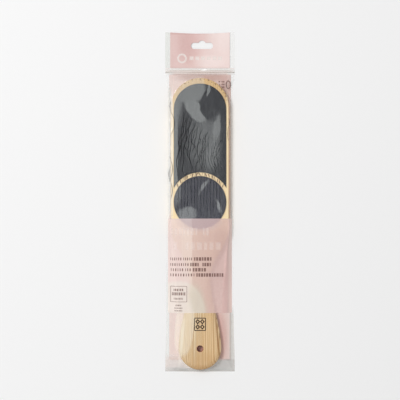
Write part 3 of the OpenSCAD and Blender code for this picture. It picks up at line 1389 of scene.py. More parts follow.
# Tones of the front film: beside the paddle, over its handle, at the mouth, corners and bottom.
# Among them are painted shade along the blade's left edge and under the lip, painted highlights on
# the blade's left rim, the handle's left rounding and the mouth's corners, and painted light that
# lifts the shade on the blade's right rim, the strip beside it and the right margin
EDGE_TONES_AND_PAINTED_LIGHT = (
    Patch(-30.6, 40, 2, 55, 0.42, 8, 0.2, "DCDDD8"),
    Patch(-29, 205, 1.9, 56, 0.3, 8, 0.3, "DCE1E4"),
    # painted shade along the blade's left edge
    Patch(-27.1, 200, 0.6, 66, 0.5, 8, 0.4, "B3A59B"),
    Patch(-28.4, 250, 0.9, 20, 0.4, 8, 0.4, "BDB8AC"),
    # painted highlight on the blade's left rim
    Patch(-25.7, 205, 0.6, 60, 0.6, 8, 0.4, "FFFAF2"),
    # painted shade just under the lip
    Patch(0, 276.1, 31, 1, 0.9, 8, 0.3, "CFB8B1"),
    # painted light on the blade's shaded right rim, on the right margin and on the shaded strip
    # beside the blade
    Patch(25.2, 205, 0.8, 60, 0.4, 8, 0.4, "F6DEB4"),
    Patch(31, 205, 0.9, 62, 0.85, 8, 0.4, "FDFAF6"),
    Patch(28, 205, 0.5, 60, 0.38, 8, 0.5, "F0D5C0"),
    Patch(30.3, 24, 2.9, 33, 0.62, 8, 0.2, "C9C3BB"),
    Patch(-18, 6, 17, 9, 0.55, 5, 0.3, "D2BFB5"),
    Patch(16, 4.2, 19, 7.8, 0.62, 5, 0.12, "A8A199"),
    Patch(0, 1.4, 34, 2.4, 0.75, 8, 0.6, "A9A59E"),
    Patch(0, 21.7, 20, 20, -1, 2, 0.02),
    # painted highlights on the handle's left rounding
    Patch(-14.5, 42, 8.6, 27, 0.34, 2.4, 0.12, "FFF8E6", turn=-5),
    Patch(-16.4, 34, 1.9, 22, 0.55, 2.4, 0.6, "FFFAEA", turn=-6),
    # painted highlights at the mouth's two corners
    Patch(-29, 270, 4.5, 6.5, 0.2, 2, 0.5, "E0E0DC"),
    Patch(29, 270, 4.5, 6.5, 0.2, 2, 0.5, "E0E0DC"),
)

# Where fine drawn lines show in the film over the pads, as painted sheen along them
LINE_SHEEN = (
    Patch(0, 215, 24, 40, 0.035, 3, 0.3),
    Patch(0, 158, 24, 24, 0.035, 3, 0.3),
)

# The lip's folds and pale ridges, its darker low edge and one bright spot: painted highlights along
# the ridges and in the spot, painted shade along the low edge
LIP_TONES_AND_PAINTED_LIGHT = (
    Patch(0, 278.2, 33, 1.5, 0.85, 8, 0.25, "D8CAC4"),
    # painted highlights along the two pale ridges
    Patch(-17, 280.3, 17, 0.75, 0.85, 8, 0.3, "E0DCD7", turn=-1.4),
    Patch(17, 280.2, 17, 0.75, 0.85, 8, 0.3, "E1DED9", turn=1.4),
    # painted shade along the low edge and at its two ends
    Patch(12, 277.6, 22, 0.42, 0.85, 6, 0.6, "BFB0A7"),
    Patch(-30, 277.6, 5, 0.6, 0.85, 3, 0.5, "C4BFB8"),
    Patch(30, 277.6, 6, 0.6, 0.85, 3, 0.5, "B5AEA6"),
    # a painted highlight
    Patch(3.6, 279.9, 2.6, 0.6, 0.8, 2, 0.5, "FFFFFF", turn=8),
)

# The header's clear margins on its two sides
HEADER_STAINS = (
    Patch(-30.3, 299, 3.6, 20, 0.8, 8, 0.15, "DDDFDA"),
    Patch(31, 299, 3, 20, 0.6, 8, 0.2, "EBEBE9"),
)

# Tones of the wood: blade, top arch, growth lines and end of the handle; the dark red-brown on the
# rim and wall of the hole is painted shade
WOOD_TONES_AND_HOLE_SHADE = (
    Patch(0, 192, 30, 60, 0.85, 8, 0.1, "FFE6B6"),
    Patch(0, 262, 30, 20, 0.5, 8, 0.4, "D6B279"),
    Patch(12, 32, 8, 28, 0.3, 2.6, 0.45, "ECC691", turn=3),
    Patch(16, 34, 0.55, 20, 0.8, 3, 0.6, "96642F", turn=5),
    Patch(12.2, 32, 0.35, 24, 0.55, 3, 0.6, "AD7C44", turn=2),
    Patch(5.4, 30, 0.3, 26, 0.4, 3, 0.6, "B28248"),
    Patch(17.2, 21.5, 0.8, 12.5, 0.5, 3, 0.6, "A0703A", turn=5),
    Patch(0, 3.4, 15, 2.6, 0.3, 2.2, 0.6, "B98545"),
    Patch(2, 9, 15, 9, 0.25, 2.2, 0.6, "B98545"),
    # painted shade: the hole's rim and wall in dark red-brown
    Patch(0, 21.7, 3.15, 3.15, 0.9, 2, 0.03, "A0442A"),
)

# Zones of the back print: the mouth, both sides of the blade, beside the handle, the hole. Most are
# painted light and shade: painted shadow under the mouth and at its right, warm painted bounce
# light in the shade right of the blade, painted shade beside the handle's right side with paler
# painted light in it, and a red-brown painted shade where the hole shows the print
REAR_TONES_AND_PAINTED_LIGHT = (
    Patch(-18, 268, 18, 12, 0.55, 2.4, 0.4, "DEBFB9"),
    # painted shadow under the mouth
    Patch(5, 273.5, 25, 4.5, 0.8, 2.6, 0.5, "BD978D"),
    Patch(-29.8, 204, 3.4, 58, 1, 8, 0.1, "E6ECEE"),
    # warm painted bounce light in the shade right of the blade
    Patch(29, 200, 3.4, 64, 0.7, 8, 0.3, "EDB7A0"),
    # painted shade beside the handle's right side, with two paler patches of painted light in it
    Patch(21.5, 30, 4.5, 27, 0.4, 2.4, 0.5, "D0A093"),
    Patch(20, 41, 3.6, 17, 0.6, 2.4, 0.6, "C79C93", turn=8),
    Patch(18.7, 40, 2, 18, 0.7, 2.4, 0.6, "EBBBB0", turn=8),
    Patch(20.6, 21, 1.8, 14, 0.7, 2.4, 0.6, "E4B5AA", turn=-1),
    # painted shadow of the blade at the mouth's right
    Patch(26, 264, 7, 12, 0.6, 2.4, 0.5, "CBA097"),
    # red-brown painted shade where the hole shows the print
    Patch(0, 21.7, 5, 5, 0.8, 2, 0.5, "DF987E"),
)

# Zones of the header's print, deeper on the left and paler on the right: the print's own pink with
# painted reflection in the glossy header
HEADER_TONES_AND_SHEEN = (
    Patch(-11.5, 303.5, 8.5, 15.5, 0.75, 2.2, 0.6, "CDA39E"),
    Patch(-13, 314, 16, 1.3, 0.6, 4, 0.5, "C39791"),
    Patch(-1.5, 307, 7.5, 9, 0.5, 2.2, 0.6, "D6AEA9"),
    Patch(-5, 290, 8, 7, 0.45, 2.2, 0.6, "D6AFA8"),
    Patch(20, 310, 9, 12, 0.4, 2.4, 0.6, "F6E6E2"),
    Patch(8, 287, 12, 5.5, 0.5, 2.2, 0.6, "F5E6E2"),
)

# Zones of the band: the pale left part, the pad and the handle under it, the right side, where the
# pale patches are painted light that lifts the shade of the band's right side
BAND_TONES_AND_PAINTED_LIGHT = (
    Patch(-19.6, 101, 12.4, 44.5, 0.92, 9, 0.04, "F0D7D1"),
    Patch(-12.5, 101, 4.8, 40, 0.4, 3, 0.5, "EFDDD2"),
    Patch(-24.6, 90, 1.6, 50, 0.4, 3, 0.5, "F1DDD4"),
    Patch(-1, 96, 5, 34, 0.3, 3, 0.6, "E0C1B7"),
    Patch(-1, 139, 20, 8.5, 0.4, 2.2, 0.2, "BCA7B2"),
    Patch(19, 104, 5, 36, 0.35, 3, 0.6, "C9A49E"),
    # painted light that lifts the shade near the band's right side
    Patch(24, 73, 2.7, 32, 0.85, 3, 0.6, "F1C3BC", turn=-2.7),
    Patch(30.2, 98, 3.6, 60, 0.9, 8, 0.4, "FFDDD3"),
    Patch(-20, 50, 25, 34, 0.95, 2.2, 0.06, "EFE4DA"),
    Patch(-1.5, 62, 7, 19, 0.6, 2.2, 0.45, "CFC8B8", turn=14),
)

# Unevenness of the films that lie flat, and of the small ones
FLAT_FILM = {"crumple": 0.15, "relief_height": 0.00006}
SMALL_FILM = {"crumple": 0.1, "relief_height": 0.00004}


class Finish(Enum):
    """Every finish of the part."""

    WOOD = WoodFinish(tones_and_painted_light=WOOD_TONES_AND_HOLE_SHADE)
    LONG_GRIT = GritFinish("long_grit", "1B1C1F", "33353B")
    ROUND_GRIT = GritFinish("round_grit", "24242D", "3B3C4A")
    ADHESIVE = MarkFinish("dried_adhesive", "C9BC9F", 1.0)
    FRONT_FILM = FilmFinish(
        "front_film_clear", 0.0, 0.01, PAD_REFLECTIONS, PAD_EDGE_REFLECTION, LINE_SHEEN, EDGE_TONES_AND_PAINTED_LIGHT, closed=False
    )
    BACK_FILM = FilmFinish("back_film_clear", 0.03, 0.01, **FLAT_FILM)
    HEADER_FILM = FilmFinish("header_film_clear", 0.03, 0.02, tones_and_painted_light=HEADER_STAINS, **FLAT_FILM)
    FLAP_FILM = FilmFinish(
        "flap_film_clear",
        0.26,
        0.06,
        tones_and_painted_light=LIP_TONES_AND_PAINTED_LIGHT,
        tint="E9E7E2",
        shade="DFDAD4",
        closed=False,
        **SMALL_FILM,
    )
    WELD_FILM = FilmFinish(
        "weld_film_clear", 0.8, 0.03, tint="E8D9D4", shade="E1D2CD", **SMALL_FILM
    )
    TAPE = FilmFinish("closure_tape_clear", 0.3, 0.03, tint="EADCD4", shade="E2D6CD", **SMALL_FILM)
    REAR_INK = InkFinish("rear_ink", "EDD8D1", "E0C9C1", REAR_TONES_AND_PAINTED_LIGHT)
    # the header ink's darker left and paler right are partly painted reflection in the glossy
    # header
    HEADER_INK = InkFinish("header_ink_tone", "DAB9B4", "EED8D3", HEADER_TONES_AND_SHEEN)
    BAND_INK = InkFinish("band_ink", "DEC0B9", "D2AFA8", BAND_TONES_AND_PAINTED_LIGHT, cover=0.8)
    BROWN_MARK = MarkFinish("brown_print", "7A5A58", 0.72)
    PALE_MARK = MarkFinish("pale_print", "FFF6F1", 0.75, fleck="F6E9E3")
    FAINT_MARK = MarkFinish("faint_print", "F6ECE8", 0.24, fleck="EADAD5", sheer=True)
    STRAND = MarkFinish("dark_line_print", "202023", 0.68, fleck="2E2A2C")
    BURN = MarkFinish("burned_mark", "271810", 0.97, 0.8, fleck="4A3320")


class Dresser:
    """Builds each finish once and puts it on pieces and nodes."""

    def __init__(self, effects: Effects) -> None:
        """Keep the shared groups."""
        self.effects = effects
        self.made: dict[Finish, Material] = {}

    def material(self, finish: Finish) -> Material:
        """Material of a finish, built on first use.

        Args:
            finish: the finish.

        Returns:
            Its material.
        """
        if finish not in self.made:
            self.made[finish] = finish.value.build(self.effects)
        return self.made[finish]

    def settle(self, piece: Piece, finish: Finish, body: str, slot: str, *nodes: str) -> None:
        """Dress a new piece, tie it to the frame and report it.

        Args:
            piece: the new piece.
            finish: what it looks like.
            body: the body that it rides on.
            slot: a material slot's name; not used.
            nodes: the CAD nodes that it stands for.
        """
        piece.data.materials.clear()
        piece.data.materials.append(self.material(finish))
        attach(piece, body)
        if nodes:
            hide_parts(*nodes)
        LOG.info("piece %s on %s, %d faces", piece.name, body, len(piece.data.polygons))

    def dress_node(self, node: str, finish: Finish) -> None:
        """Give a CAD node its finish.

        Args:
            node: the node's name.
            finish: what it looks like.
        """
        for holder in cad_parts[node].material_slots:
            holder.material = self.material(finish)
        LOG.info("node %s: %s", node, self.material(finish).name)


# The file


@dataclass
class Paddle:
    """The wooden paddle with its pads and its burned mark."""

    layout: Layout
    turn_steps: int = 30
    side_steps: int = 120
    edge_steps: int = 7
    hole_steps: int = 56
    overrun: float = 1.0
    crisp_angle: float = 30.0
    mark_y: float = 44.3
    mark_w: float = 10.2
    mark_h: float = 11.4
    mark_lift: float = 0.03
    frame_line: float = 0.8
    diamond_line: float = 1.35
    diamond_x: float = 2.15
    diamond_y: float = 2.45
    diamond_half_w: float = 1.6
    diamond_half_h: float = 1.85

    def outline(self) -> Array:
        """Right half of the wood's outline, from the top centre to the bottom one.

        Returns:
            The outline's places in millimetres, one to a row.
        """
        lay = self.layout
        quarter = np.linspace(math.pi / 2, 0, self.turn_steps + 1)
        top, low = (
            np.column_stack([radius * np.cos(turn), centre + radius * np.sin(turn)])
            for radius, centre, turn in (
                (lay.blade_r, lay.blade_y, quarter),
                (lay.handle_r, lay.handle_y, quarter - math.pi / 2),
            )
        )
        ys = np.linspace(lay.blade_y, lay.handle_y, self.side_steps + 1)[1:-1]
        side = np.array([[lay.wood_half(y), y] for y in ys])
        return np.concatenate([top, side, low])

    def build_wood(self) -> Piece:
        """Build the paddle with its rounded edges and its chamfered hole.

        Returns:
            The new piece.
        """
        lay = self.layout
        right = self.outline()
        ring = np.concatenate([right, right[-2:0:-1] * [-1, 1]])
        count = len(ring)
        ways = np.roll(ring, -1, 0) - np.roll(ring, 1, 0)
        ways /= np.linalg.norm(ways, axis=1, keepdims=True)
        out = np.column_stack([-ways[:, 1], ways[:, 0]])
        widths, radii = np.array([lay.edge(y) for y in ring[:, 1]]).T
        middle = lay.wood_z + lay.wood_t / 2
        layers = []
        for sign in (-1, 1):
            for tilt in np.linspace(math.pi / 2, 0, self.edge_steps + 1)[::-sign]:
                flat = ring - out * (widths * (1 - math.cos(tilt)))[:, None]
                z = middle + sign * (lay.wood_t / 2 - radii + radii * math.sin(tilt))
                layers.append(np.column_stack([flat, z]))
        faces = net(len(layers), count, closed=True, inward=True)
        for first, flip in ((0, False), ((len(layers) - 1) * count, True)):
            for i in range(count // 2):
                corners = (i, i + 1, count - i - 1, (count - i) % count)
                face = tuple(dict.fromkeys(first + corner for corner in corners))
                faces.append(face[::-1] if flip else face)
        wood = new_piece("wooden_paddle", lay.place_all(np.concatenate(layers)), faces)
        cut_piece(wood, self.hole_cutter())
        wood.data.shade_smooth()
        wood.data.set_sharp_from_angle(angle=math.radians(self.crisp_angle))
        return wood

    def hole_cutter(self) -> Piece:
        """Build the body that is cut away for the hanging hole and its chamfers.

        Returns:
            The closed body.
        """
        lay = self.layout
        steps, low, high = self.hole_steps, lay.wood_z, lay.wood_top
        wide = lay.hole_r + lay.hole_chamfer + self.overrun
        profile = (
            (wide, low - self.overrun),
            (lay.hole_r, low + lay.hole_chamfer),
            (lay.hole_r, high - lay.hole_chamfer),
            (wide, high + self.overrun),
        )
        verts = [
            lay.place(x, y, z)
            for radius, z in profile
            for x, y in oval(0.0, lay.handle_y, radius, radius, steps)
        ]
        faces = net(len(profile), steps, closed=True)
        faces.append(tuple(range(steps))[::-1])
        faces.append(tuple(range(3 * steps, 4 * steps)))
        return new_piece("hole_cutter", verts, faces)

    def build_mark(self) -> Piece:
        """Build the burned mark: four small diamonds in a thin frame, a plain design.

        Returns:
            The new piece.
        """
        top = self.layout.wood_top
        ink = Strokes(lambda x, y: np.full(np.shape(x), top), self.mark_lift)
        half_w, half_h, y = self.mark_w / 2, self.mark_h / 2, self.mark_y
        ink.frame((-half_w, half_w), y - half_h, y + half_h, self.frame_line, 2)
        wide, tall = self.diamond_half_w, self.diamond_half_h
        for row in (-1, 1):
            for col in (-1, 1):
                x, middle = col * self.diamond_x, y + row * self.diamond_y
                corners = ((0, tall), (wide, 0), (0, -tall), (-wide, 0))
                points = [(x + a, middle + b) for a, b in corners]
                ink.line(points, self.diamond_line, closed=True)
        return ink.piece("burned_diamond_mark")

    def assemble(self, dresser: Dresser) -> None:
        """Build and dress the file.

        Args:
            dresser: puts the finishes on.
        """
        dresser.settle(self.build_wood(), Finish.WOOD, "file", "pale_wood", "wood_paddle")
        dresser.settle(self.build_mark(), Finish.BURN, "file", "pale_wood")
        for face in ("front", "rear"):
            dresser.dress_node(f"{face}_long_abrasive", Finish.LONG_GRIT)
            dresser.dress_node(f"{face}_round_abrasive", Finish.ROUND_GRIT)
            for pad in ("long", "round"):
                dresser.dress_node(f"{face}_{pad}_adhesive", Finish.ADHESIVE)


# The pouch


@dataclass
class Pouch:
    """The pouch: back film, prints and the draped front film."""

    layout: Layout
    drape: Drape
    row_step: float = 0.95
    flat_steps: int = 34
    wall_steps: int = 12
    seam_steps: int = 2
    strand_steps: int = 110
    side_strand_skip: int = 3
    print_lift: float = 0.05
    mark_lift: float = 0.12
    strand_lift: float = 0.07
    flat_keep: float = 0.1
    fine_line: float = 0.42
    fold_rows: Sequence[float] = (0.1, 0.2, 0.3, 0.4, 0.55, 0.7, 0.85, 1.05, 1.3, 1.6, 2.2, 2.8)
    mouth_rows: Sequence[float] = (0.1, 0.25, 0.4, 0.6, 0.85, 1.1, 1.4, 1.8, 2.3, 3.3, 4.2)

    def rows(self, y0: float, y1: float) -> Array:
        """Places of a sheet's rows between two ends."""
        return np.linspace(y0, y1, int(math.ceil((y1 - y0) / self.row_step)) + 1)

    def film_rows(self) -> Array:
        """Places of the film's rows, closer together near the fold and the mouth.

        Returns:
            The places up from the bottom fold.
        """
        mouth = self.layout.mouth_y
        low, high = np.array(self.fold_rows), mouth - np.array(self.mouth_rows)
        return np.unique(np.concatenate([self.rows(0.0, mouth), low, high]).round(3))

    def sheet(self, name: str, ys: Array, seam: int, lift: float) -> Piece:
        """Build a sheet on the drape from row to row.

        Args:
            name: the piece's name.
            ys: places of its rows.
            seam: steps across the seam, or 0 to stop at its inner edge.
            lift: how far it lies over the film.

        Returns:
            The new object.
        """
        made = []
        for y in ys:
            xs = self.drape.columns(float(y), self.flat_steps, self.wall_steps, seam)
            spread = np.full_like(xs, y)
            made.append(np.column_stack([xs, spread, self.drape.height(xs, spread) + lift]))
        return sheet_piece(name, made)

    def fall(self, piece: Piece) -> None:
        """Give a piece of the front its own copy of its mesh."""
        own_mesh(piece)

    @staticmethod
    def draw_rows(ink: Strokes) -> None:
        """Draw the band's four rows, each of thin bars and then bold ones.

        Args:
            ink: gathers the strokes.
        """
        for low, thin_ends, thin_words, bold_ends, bold_words in (
            (103.2, (-27.4, -7.4), (6, 5), (-5.6, 10.6), (7,)),
            (98.0, (-27.4, -10.6), (9,), (-9.0, 10.0), (4, 4)),
            (93.2, (-27.0, -8.6), (6, 3), (-6.6, 5.4), (5,)),
            (88.4, (-27.4, -5.2), (10,), (-3.4, 21.6), (11,)),
        ):
            ink.ticks(thin_ends, low + 0.2, low + 2.8, thin_words, 1.4)
            ink.ticks(bold_ends, low - 0.1, low + 3.1, bold_words, 0.4)

    def draw_box(self, ink: Strokes) -> None:
        """Draw the framed box under the rows, with small rows in it and below it.

        Args:
            ink: gathers the strokes.
        """
        ink.frame((-27.3, -12.2), 65.0, 79.4, self.fine_line, 12)
        for left, right, low, high, count, gap in (
            (-24.4, -15.6, 75.0, 77.2, 6, 0.6),
            (-26.0, -13.6, 71.0, 73.8, 8, 0.6),
            (-24.2, -16.0, 67.0, 68.8, 7, 0.9),
            (-22.6, -17.4, 61.0, 62.4, 5, 0.6),
            (-23.6, -16.4, 58.6, 59.8, 7, 0.7),
            (-23.6, -16.4, 56.2, 57.4, 7, 0.7),
        ):
            ink.ticks((left, right), low, high, (count,), gap)

    @staticmethod
    def draw_corner(ink: Strokes) -> None:
        """Draw the short bars and the ring at the mouth's right.

        Args:
            ink: gathers the strokes.
        """
        left, lean, top, tall = 17.0, 0.25, 268.0, 1.5
        for y in (262.6, 265.2, 267.8):
            ink.bar(left + (top - y) * lean, 18.8, y, y + tall)
            ink.bar(19.8, 22.8, y, y + tall)
        ring_x, ring_y, half_x, half_y, width = 26.2, 265.9, 1.9, 3.6, 1.1
        ink.line(oval(ring_x, ring_y, half_x, half_y, 28), width, closed=True)

    def draw_dashes(self, ink: Strokes) -> None:
        """Draw small dashes over the wood between the pads and over its top rim.

        Args:
            ink: gathers the strokes.
        """
        lay = self.layout
        count, first, step, aside, size = 13, 36, 8.8, 34, (1.5, 0.8)
        radius = lay.pad_r + 1.7
        for i in range(count):
            turn = first + step * i + wave(i, 2.2, 2.3, 0.0)
            lean = turn + (aside if i <= count // 2 else -aside)
            ink.dash((0.0, lay.round_pad_y), radius, turn, lean, size, 9)
        count, first, step, aside, bold, fine = 23, 14, 5.6, 25, 0.45, 0.3
        for i in range(count):
            turn = first + step * i + wave(i, 2.6, 2.1, 0.0)
            lean = turn + aside + wave(i, 40, 1.7, 0.0)
            radius = 25.5 + wave(i, 0.5, 1.3, 0.0)
            size = (0.55 + 0.2 * (i % 3), bold if i <= count // 2 else fine)
            ink.dash((0.0, lay.blade_y), radius, turn, lean, size, 5)

    def build_brown_marks(self) -> Piece:
        """Build the brown print of plain bars, a frame, a ring and dashes.

        Returns:
            The new piece.
        """
        ink = Strokes(self.drape.height, self.mark_lift)
        self.draw_rows(ink)
        self.draw_box(ink)
        self.draw_corner(ink)
        self.draw_dashes(ink)
        return ink.piece("band_brown_bars")

    def build_pale_marks(self) -> Piece:
        """Build the band's two faint rows of wide pale bars.

        Returns:
            The new piece.
        """
        ink = Strokes(self.drape.height, self.mark_lift)
        ink.ticks((-26.5, 8.0), 126.6, 133.2, (7, 2), 0.6)
        ink.ticks((-24.0, 19.0), 113.2, 120.0, (1, 6), 0.6)
        return ink.piece("band_pale_bars")

    @staticmethod
    def draw_long_strands(ink: Strokes, share: Array) -> None:
        """Draw the long wavy lines over the long pad, the widest on the left.

        Args:
            ink: gathers the strokes.
            share: how far a line has come at each of its points, from 0 to 1.
        """
        left, apart, fan, calm, wide, finer = -20.2, 1.75, 5.5, 0.35, 0.8, 0.035
        low_y, low_step, high_y, high_step, uneven = 181.0, 11.0, 241.0, 1.6, 4.0
        for i in range(13):
            sway = wave(share, 0.8, 15, i * 1.3) + wave(share, 1.3, 5.1, i * 0.5)
            x = left + apart * i + sway * (calm + share) + fan * (1 - share) ** 2
            low, high = low_y + low_step * ((i * 5) % 3), high_y - high_step * i - uneven * (i % 2)
            ink.strand(x, share, high, low, wide - finer * i)

    @staticmethod
    def draw_short_strands(ink: Strokes, share: Array) -> None:
        """Draw the short wavy lines over the long pad's right half.

        Args:
            ink: gathers the strokes.
            share: how far a line has come at each of its points, from 0 to 1.
        """
        left, apart, bow, width = 2.0, 2.1, 3.0, 0.4
        low_y, low_step, high_y, high_step = 185.0, 1.3, 207.0, 2.6
        for i in range(9):
            sway = wave(share, 0.6, 9, i) + wave(share, 1.0, 3.3, i * 1.1)
            x = left + apart * i + sway - wave(share, bow, math.pi, 0.0)
            low, high = low_y + low_step * (i % 3), high_y + high_step * ((i * 3) % 7)
            ink.strand(x, share, high, low, width)

    def draw_round_strands(self, ink: Strokes, share: Array) -> None:
        """Draw the nearly straight lines over the round pad and a little past its rim.

        Args:
            ink: gathers the strokes.
            share: how far a line has come at each of its points, from 0 to 1.
        """
        lay = self.layout
        left, apart, low_y, low_step, high_step, bend = -20.0, 2.95, 144.2, 3.0, 1.5, 2.2
        radius = lay.pad_r + 3.8
        for i in range(14):
            foot = left + apart * i
            rim = math.sqrt(max(radius**2 - foot**2, 0.0))
            high = lay.round_pad_y + rim + high_step * (i % 3)
            low = low_y if i % 2 else low_y + low_step * (i % 5)
            hook = bend * (1 - share) ** 6 * (1 if i % 3 else -1)
            x = foot + wave(share, 0.35, 7, i * 2.1) + hook
            ink.strand(x, share, high, low, self.fine_line)

    @staticmethod
    def draw_side_strands(ink: Strokes, share: Array) -> None:
        """Draw the single bent lines on the clear film beside the wood.

        Args:
            ink: gathers the strokes.
            share: how far a line has come at each of its points, from 0 to 1.
        """
        width = 0.5
        for x, y, rise, bend in (
            (-27.8, 218.0, 24.0, 4.4),
            (-28.6, 176.0, 24.0, 3.2),
            (-27.4, 176.0, 14.0, -1.6),
            (26.2, 214.0, 13.0, -0.7),
            (26.6, 226.0, 9.0, 0.5),
            (-27.0, 160.0, 16.0, 1.4),
            (-26.8, 240.0, 11.0, -1.0),
        ):
            ink.strand(x + wave(share, bend, math.pi, 0.0), share, y, y + rise, width)

    def build_strands(self) -> Piece:
        """Build the thin wavy lines printed on the clear film, a plain pattern of our own.

        Returns:
            The new piece.
        """
        ink = Strokes(self.drape.height, self.strand_lift)
        share = np.linspace(0, 1, self.strand_steps)
        self.draw_long_strands(ink, share)
        self.draw_short_strands(ink, share)
        self.draw_round_strands(ink, share)
        self.draw_side_strands(ink, share[:: self.side_strand_skip])
        return ink.piece("film_line_pattern")

    def assemble(self, dresser: Dresser) -> None:
        """Build and dress the pouch.

        Args:
            dresser: puts the finishes on.
        """
        lay = self.layout
        film = self.sheet("draped_front_film", self.film_rows(), self.seam_steps, 0.0)
        band_ys = self.rows(lay.band_low, lay.band_high)
        band = self.sheet("printed_front_band", band_ys, 0, self.print_lift)
        dresser.settle(film, Finish.FRONT_FILM, "pouch", "clear_film", "front_film")
        dresser.settle(band, Finish.BAND_INK, "pouch", "pink_ink", "band_print")
        marks = {
            Finish.BROWN_MARK: self.build_brown_marks(),
            Finish.FAINT_MARK: self.build_pale_marks(),
            Finish.STRAND: self.build_strands(),
        }
        for finish, piece in marks.items():
            dresser.settle(piece, finish, "pouch", "pink_ink")
        for piece in (film, band, *marks.values()):
            self.fall(piece)
        dresser.dress_node("back_film", Finish.BACK_FILM)
        dresser.dress_node("rear_print", Finish.REAR_INK)
        dresser.dress_node("closure_tape", Finish.TAPE)
        dresser.dress_node("header_weld", Finish.WELD_FILM)


@dataclass
class Closure:
    """The sealing lip and the hanging header."""

    layout: Layout
    lip_low: float = 276.85
    lip_len: float = 4.0
    lip_z: float = 0.38
    lip_rise: float = 0.55
    lip_columns: int = 121
    lip_rows: int = 21
    ridge_low: float = 0.75
    ridge_more: float = 0.5
    wave_low: float = 0.8
    wave_more: float = 0.15
    wave_cell: Point = (22.0, 9.0)
    dent_x: float = 3.2
    dent_w: float = 2.0
    dent_depth: float = 0.9
    header_top: float = 0.45
    mark_lift: float = 0.03
    mark_y: float = 290.6
    ring_x: float = -16.7
    ring_r: float = 3.7
    ring_line: float = 1.7
    ring_steps: int = 40
    bar_count: int = 6
    bar_x: float = -9.6
    bar_step: float = 5.3
    bar_w: float = 3.6
    bar_low: float = 289.0
    bar_high: float = 292.4

    def build_lip(self) -> Piece:
        """Build the lip as a strip with two soft ridges, a little off its tape.

        Returns:
            The new piece.
        """
        half, (cell_x, cell_y) = self.layout.pouch_half_w, self.wave_cell
        xs = np.linspace(-half, half, self.lip_columns)
        near = np.exp(-(((xs - self.dent_x) / self.dent_w) ** 2))
        rows = []
        for share in np.linspace(0, 1, self.lip_rows):
            y = np.full_like(xs, self.lip_low + self.lip_len * share)
            much = self.ridge_low + self.ridge_more * share
            ridges = math.sin(2 * math.pi * share) ** 2 * much
            waves = self.wave_low + self.wave_more * speckle(xs / cell_x, y / cell_y, 11.0)
            dent = 1 - self.dent_depth * near * share
            z = self.lip_z + self.lip_rise * ridges * waves * dent
            rows.append(np.column_stack([xs, y, z]))
        return sheet_piece("ridged_sealing_lip", rows)

    def build_header_marks(self) -> Piece:
        """Build a plain ring and a row of pale bars on the header.

        Returns:
            The new piece.
        """
        ink = Strokes(lambda x, y: np.full(np.shape(x), self.header_top), self.mark_lift)
        ring = oval(self.ring_x, self.mark_y, self.ring_r, self.ring_r, self.ring_steps)
        ink.line(ring, self.ring_line, closed=True)
        for i in range(self.bar_count):
            x = self.bar_x + self.bar_step * i
            ink.bar(x, x + self.bar_w, self.bar_low, self.bar_high)
        return ink.piece("header_pale_marks")

    def assemble(self, dresser: Dresser) -> None:
        """Build and dress the lip and the header.

        Args:
            dresser: puts the finishes on.
        """
        dresser.settle(self.build_lip(), Finish.FLAP_FILM, "lip", "clear_film", "sealing_lip")
        dresser.settle(self.build_header_marks(), Finish.PALE_MARK, "header", "header_ink")
        dresser.dress_node("header_back_film", Finish.BACK_FILM)
        dresser.dress_node("header_front_film", Finish.HEADER_FILM)
        dresser.dress_node("header_print", Finish.HEADER_INK)


# The studio


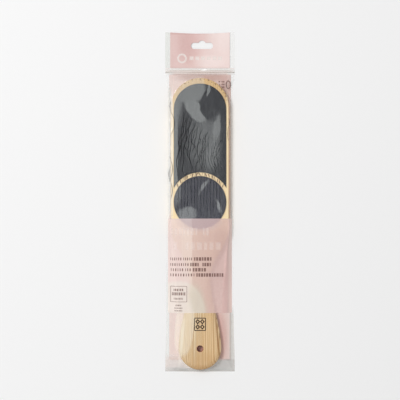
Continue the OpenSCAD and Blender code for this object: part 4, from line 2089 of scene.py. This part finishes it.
@dataclass
class Studio:
    """Floor, a soft light, pale surroundings and the camera straight above, in metres."""

    view_width: float = 0.3714
    camera_high: float = 1.8
    sensor_mm: float = 36.0
    centre_y: float = 0.0016
    floor_half: float = 3.0
    floor_drop: float = 0.0002
    floor_colour: str = "F5F5F5"
    floor_fleck: str = "E6E6E6"
    lamp_at: Place = (-1.15, 0.75, 2.45)
    lamp_watts: float = 47.0
    lamp_size: float = 0.9
    world_light: float = 0.46
    film_layers: int = 32

    def build_floor(self) -> None:
        """Lay the pale floor."""
        half, z = self.floor_half, -self.floor_drop
        corners = [(-half, -half, z), (half, -half, z), (half, half, z), (-half, half, z)]
        floor = new_piece("studio_floor", corners, [(0, 1, 2, 3)])
        coat = Coat("floor_paper")
        share = coat.kit.ramp(coat.kit.noise(coat.where, 900, 2, 0.5), 0.3, 0.7, (0.0, 0.03))
        colour = coat.kit.blend(share, tone(self.floor_colour), tone(self.floor_fleck))
        coat.kit.feed_all(coat.shader, Base_Color=colour, Roughness=0.9)
        floor.data.materials.append(coat.material)

    def build_light(self) -> None:
        """Hang one soft square lamp that looks at the part."""
        data = bpy.data.lights.new("key_lamp", "AREA")
        data.energy, data.size = self.lamp_watts, self.lamp_size
        lamp = bpy.data.objects.new("key_lamp", data)
        bpy.context.scene.collection.objects.link(lamp)
        lamp.location = self.lamp_at
        lamp.rotation_euler = (-Vector(self.lamp_at)).to_track_quat("-Z", "Y").to_euler()

    def build_world(self) -> None:
        """Surround the part with soft light that shows as a white background."""
        world = bpy.data.worlds.new("studio_world")
        bpy.context.scene.world = world
        world.use_nodes = True
        world.node_tree.nodes.clear()
        kit = Tree(world.node_tree)
        path = kit.add("LightPath").outputs
        seen = kit.math("MAXIMUM", path["Is Camera Ray"], path["Is Glossy Ray"])
        seen = kit.math("MAXIMUM", seen, path["Is Transmission Ray"])
        shader = kit.add("Background")
        strength = kit.ramp(seen, 0.0, 1.0, (self.world_light, 1.0))
        kit.feed_all(shader, Color=(1, 1, 1, 1), Strength=strength)
        kit.feed_all(kit.add("OutputWorld"), Surface=shader.outputs[0])

    def build_camera(self) -> None:
        """Hang the camera over the part, with the header at the top of the picture."""
        data = bpy.data.cameras.new("studio_camera")
        data.sensor_width = self.sensor_mm
        data.lens = self.sensor_mm * self.camera_high / self.view_width
        camera = bpy.data.objects.new("studio_camera", data)
        bpy.context.scene.collection.objects.link(camera)
        camera.location = (0.0, self.centre_y, self.camera_high)
        bpy.context.scene.camera = camera

    def assemble(self) -> None:
        """Build the whole studio."""
        self.build_floor()
        self.build_light()
        self.build_world()
        self.build_camera()
        bpy.context.scene.view_settings.view_transform = "Standard"
        # light gets through every layer of film that lies over another
        bpy.context.scene.cycles.transparent_max_bounces = self.film_layers


def main() -> None:
    """Build the studio and every part of the dressed model."""
    logging.basicConfig(level=logging.INFO, format="%(name)s: %(message)s")
    dresser = Dresser(Effects())
    Studio().assemble()
    Paddle(LAYOUT).assemble(dresser)
    Pouch(LAYOUT, DRAPE).assemble(dresser)
    Closure(LAYOUT).assemble(dresser)


if __name__ == "__main__":
    main()
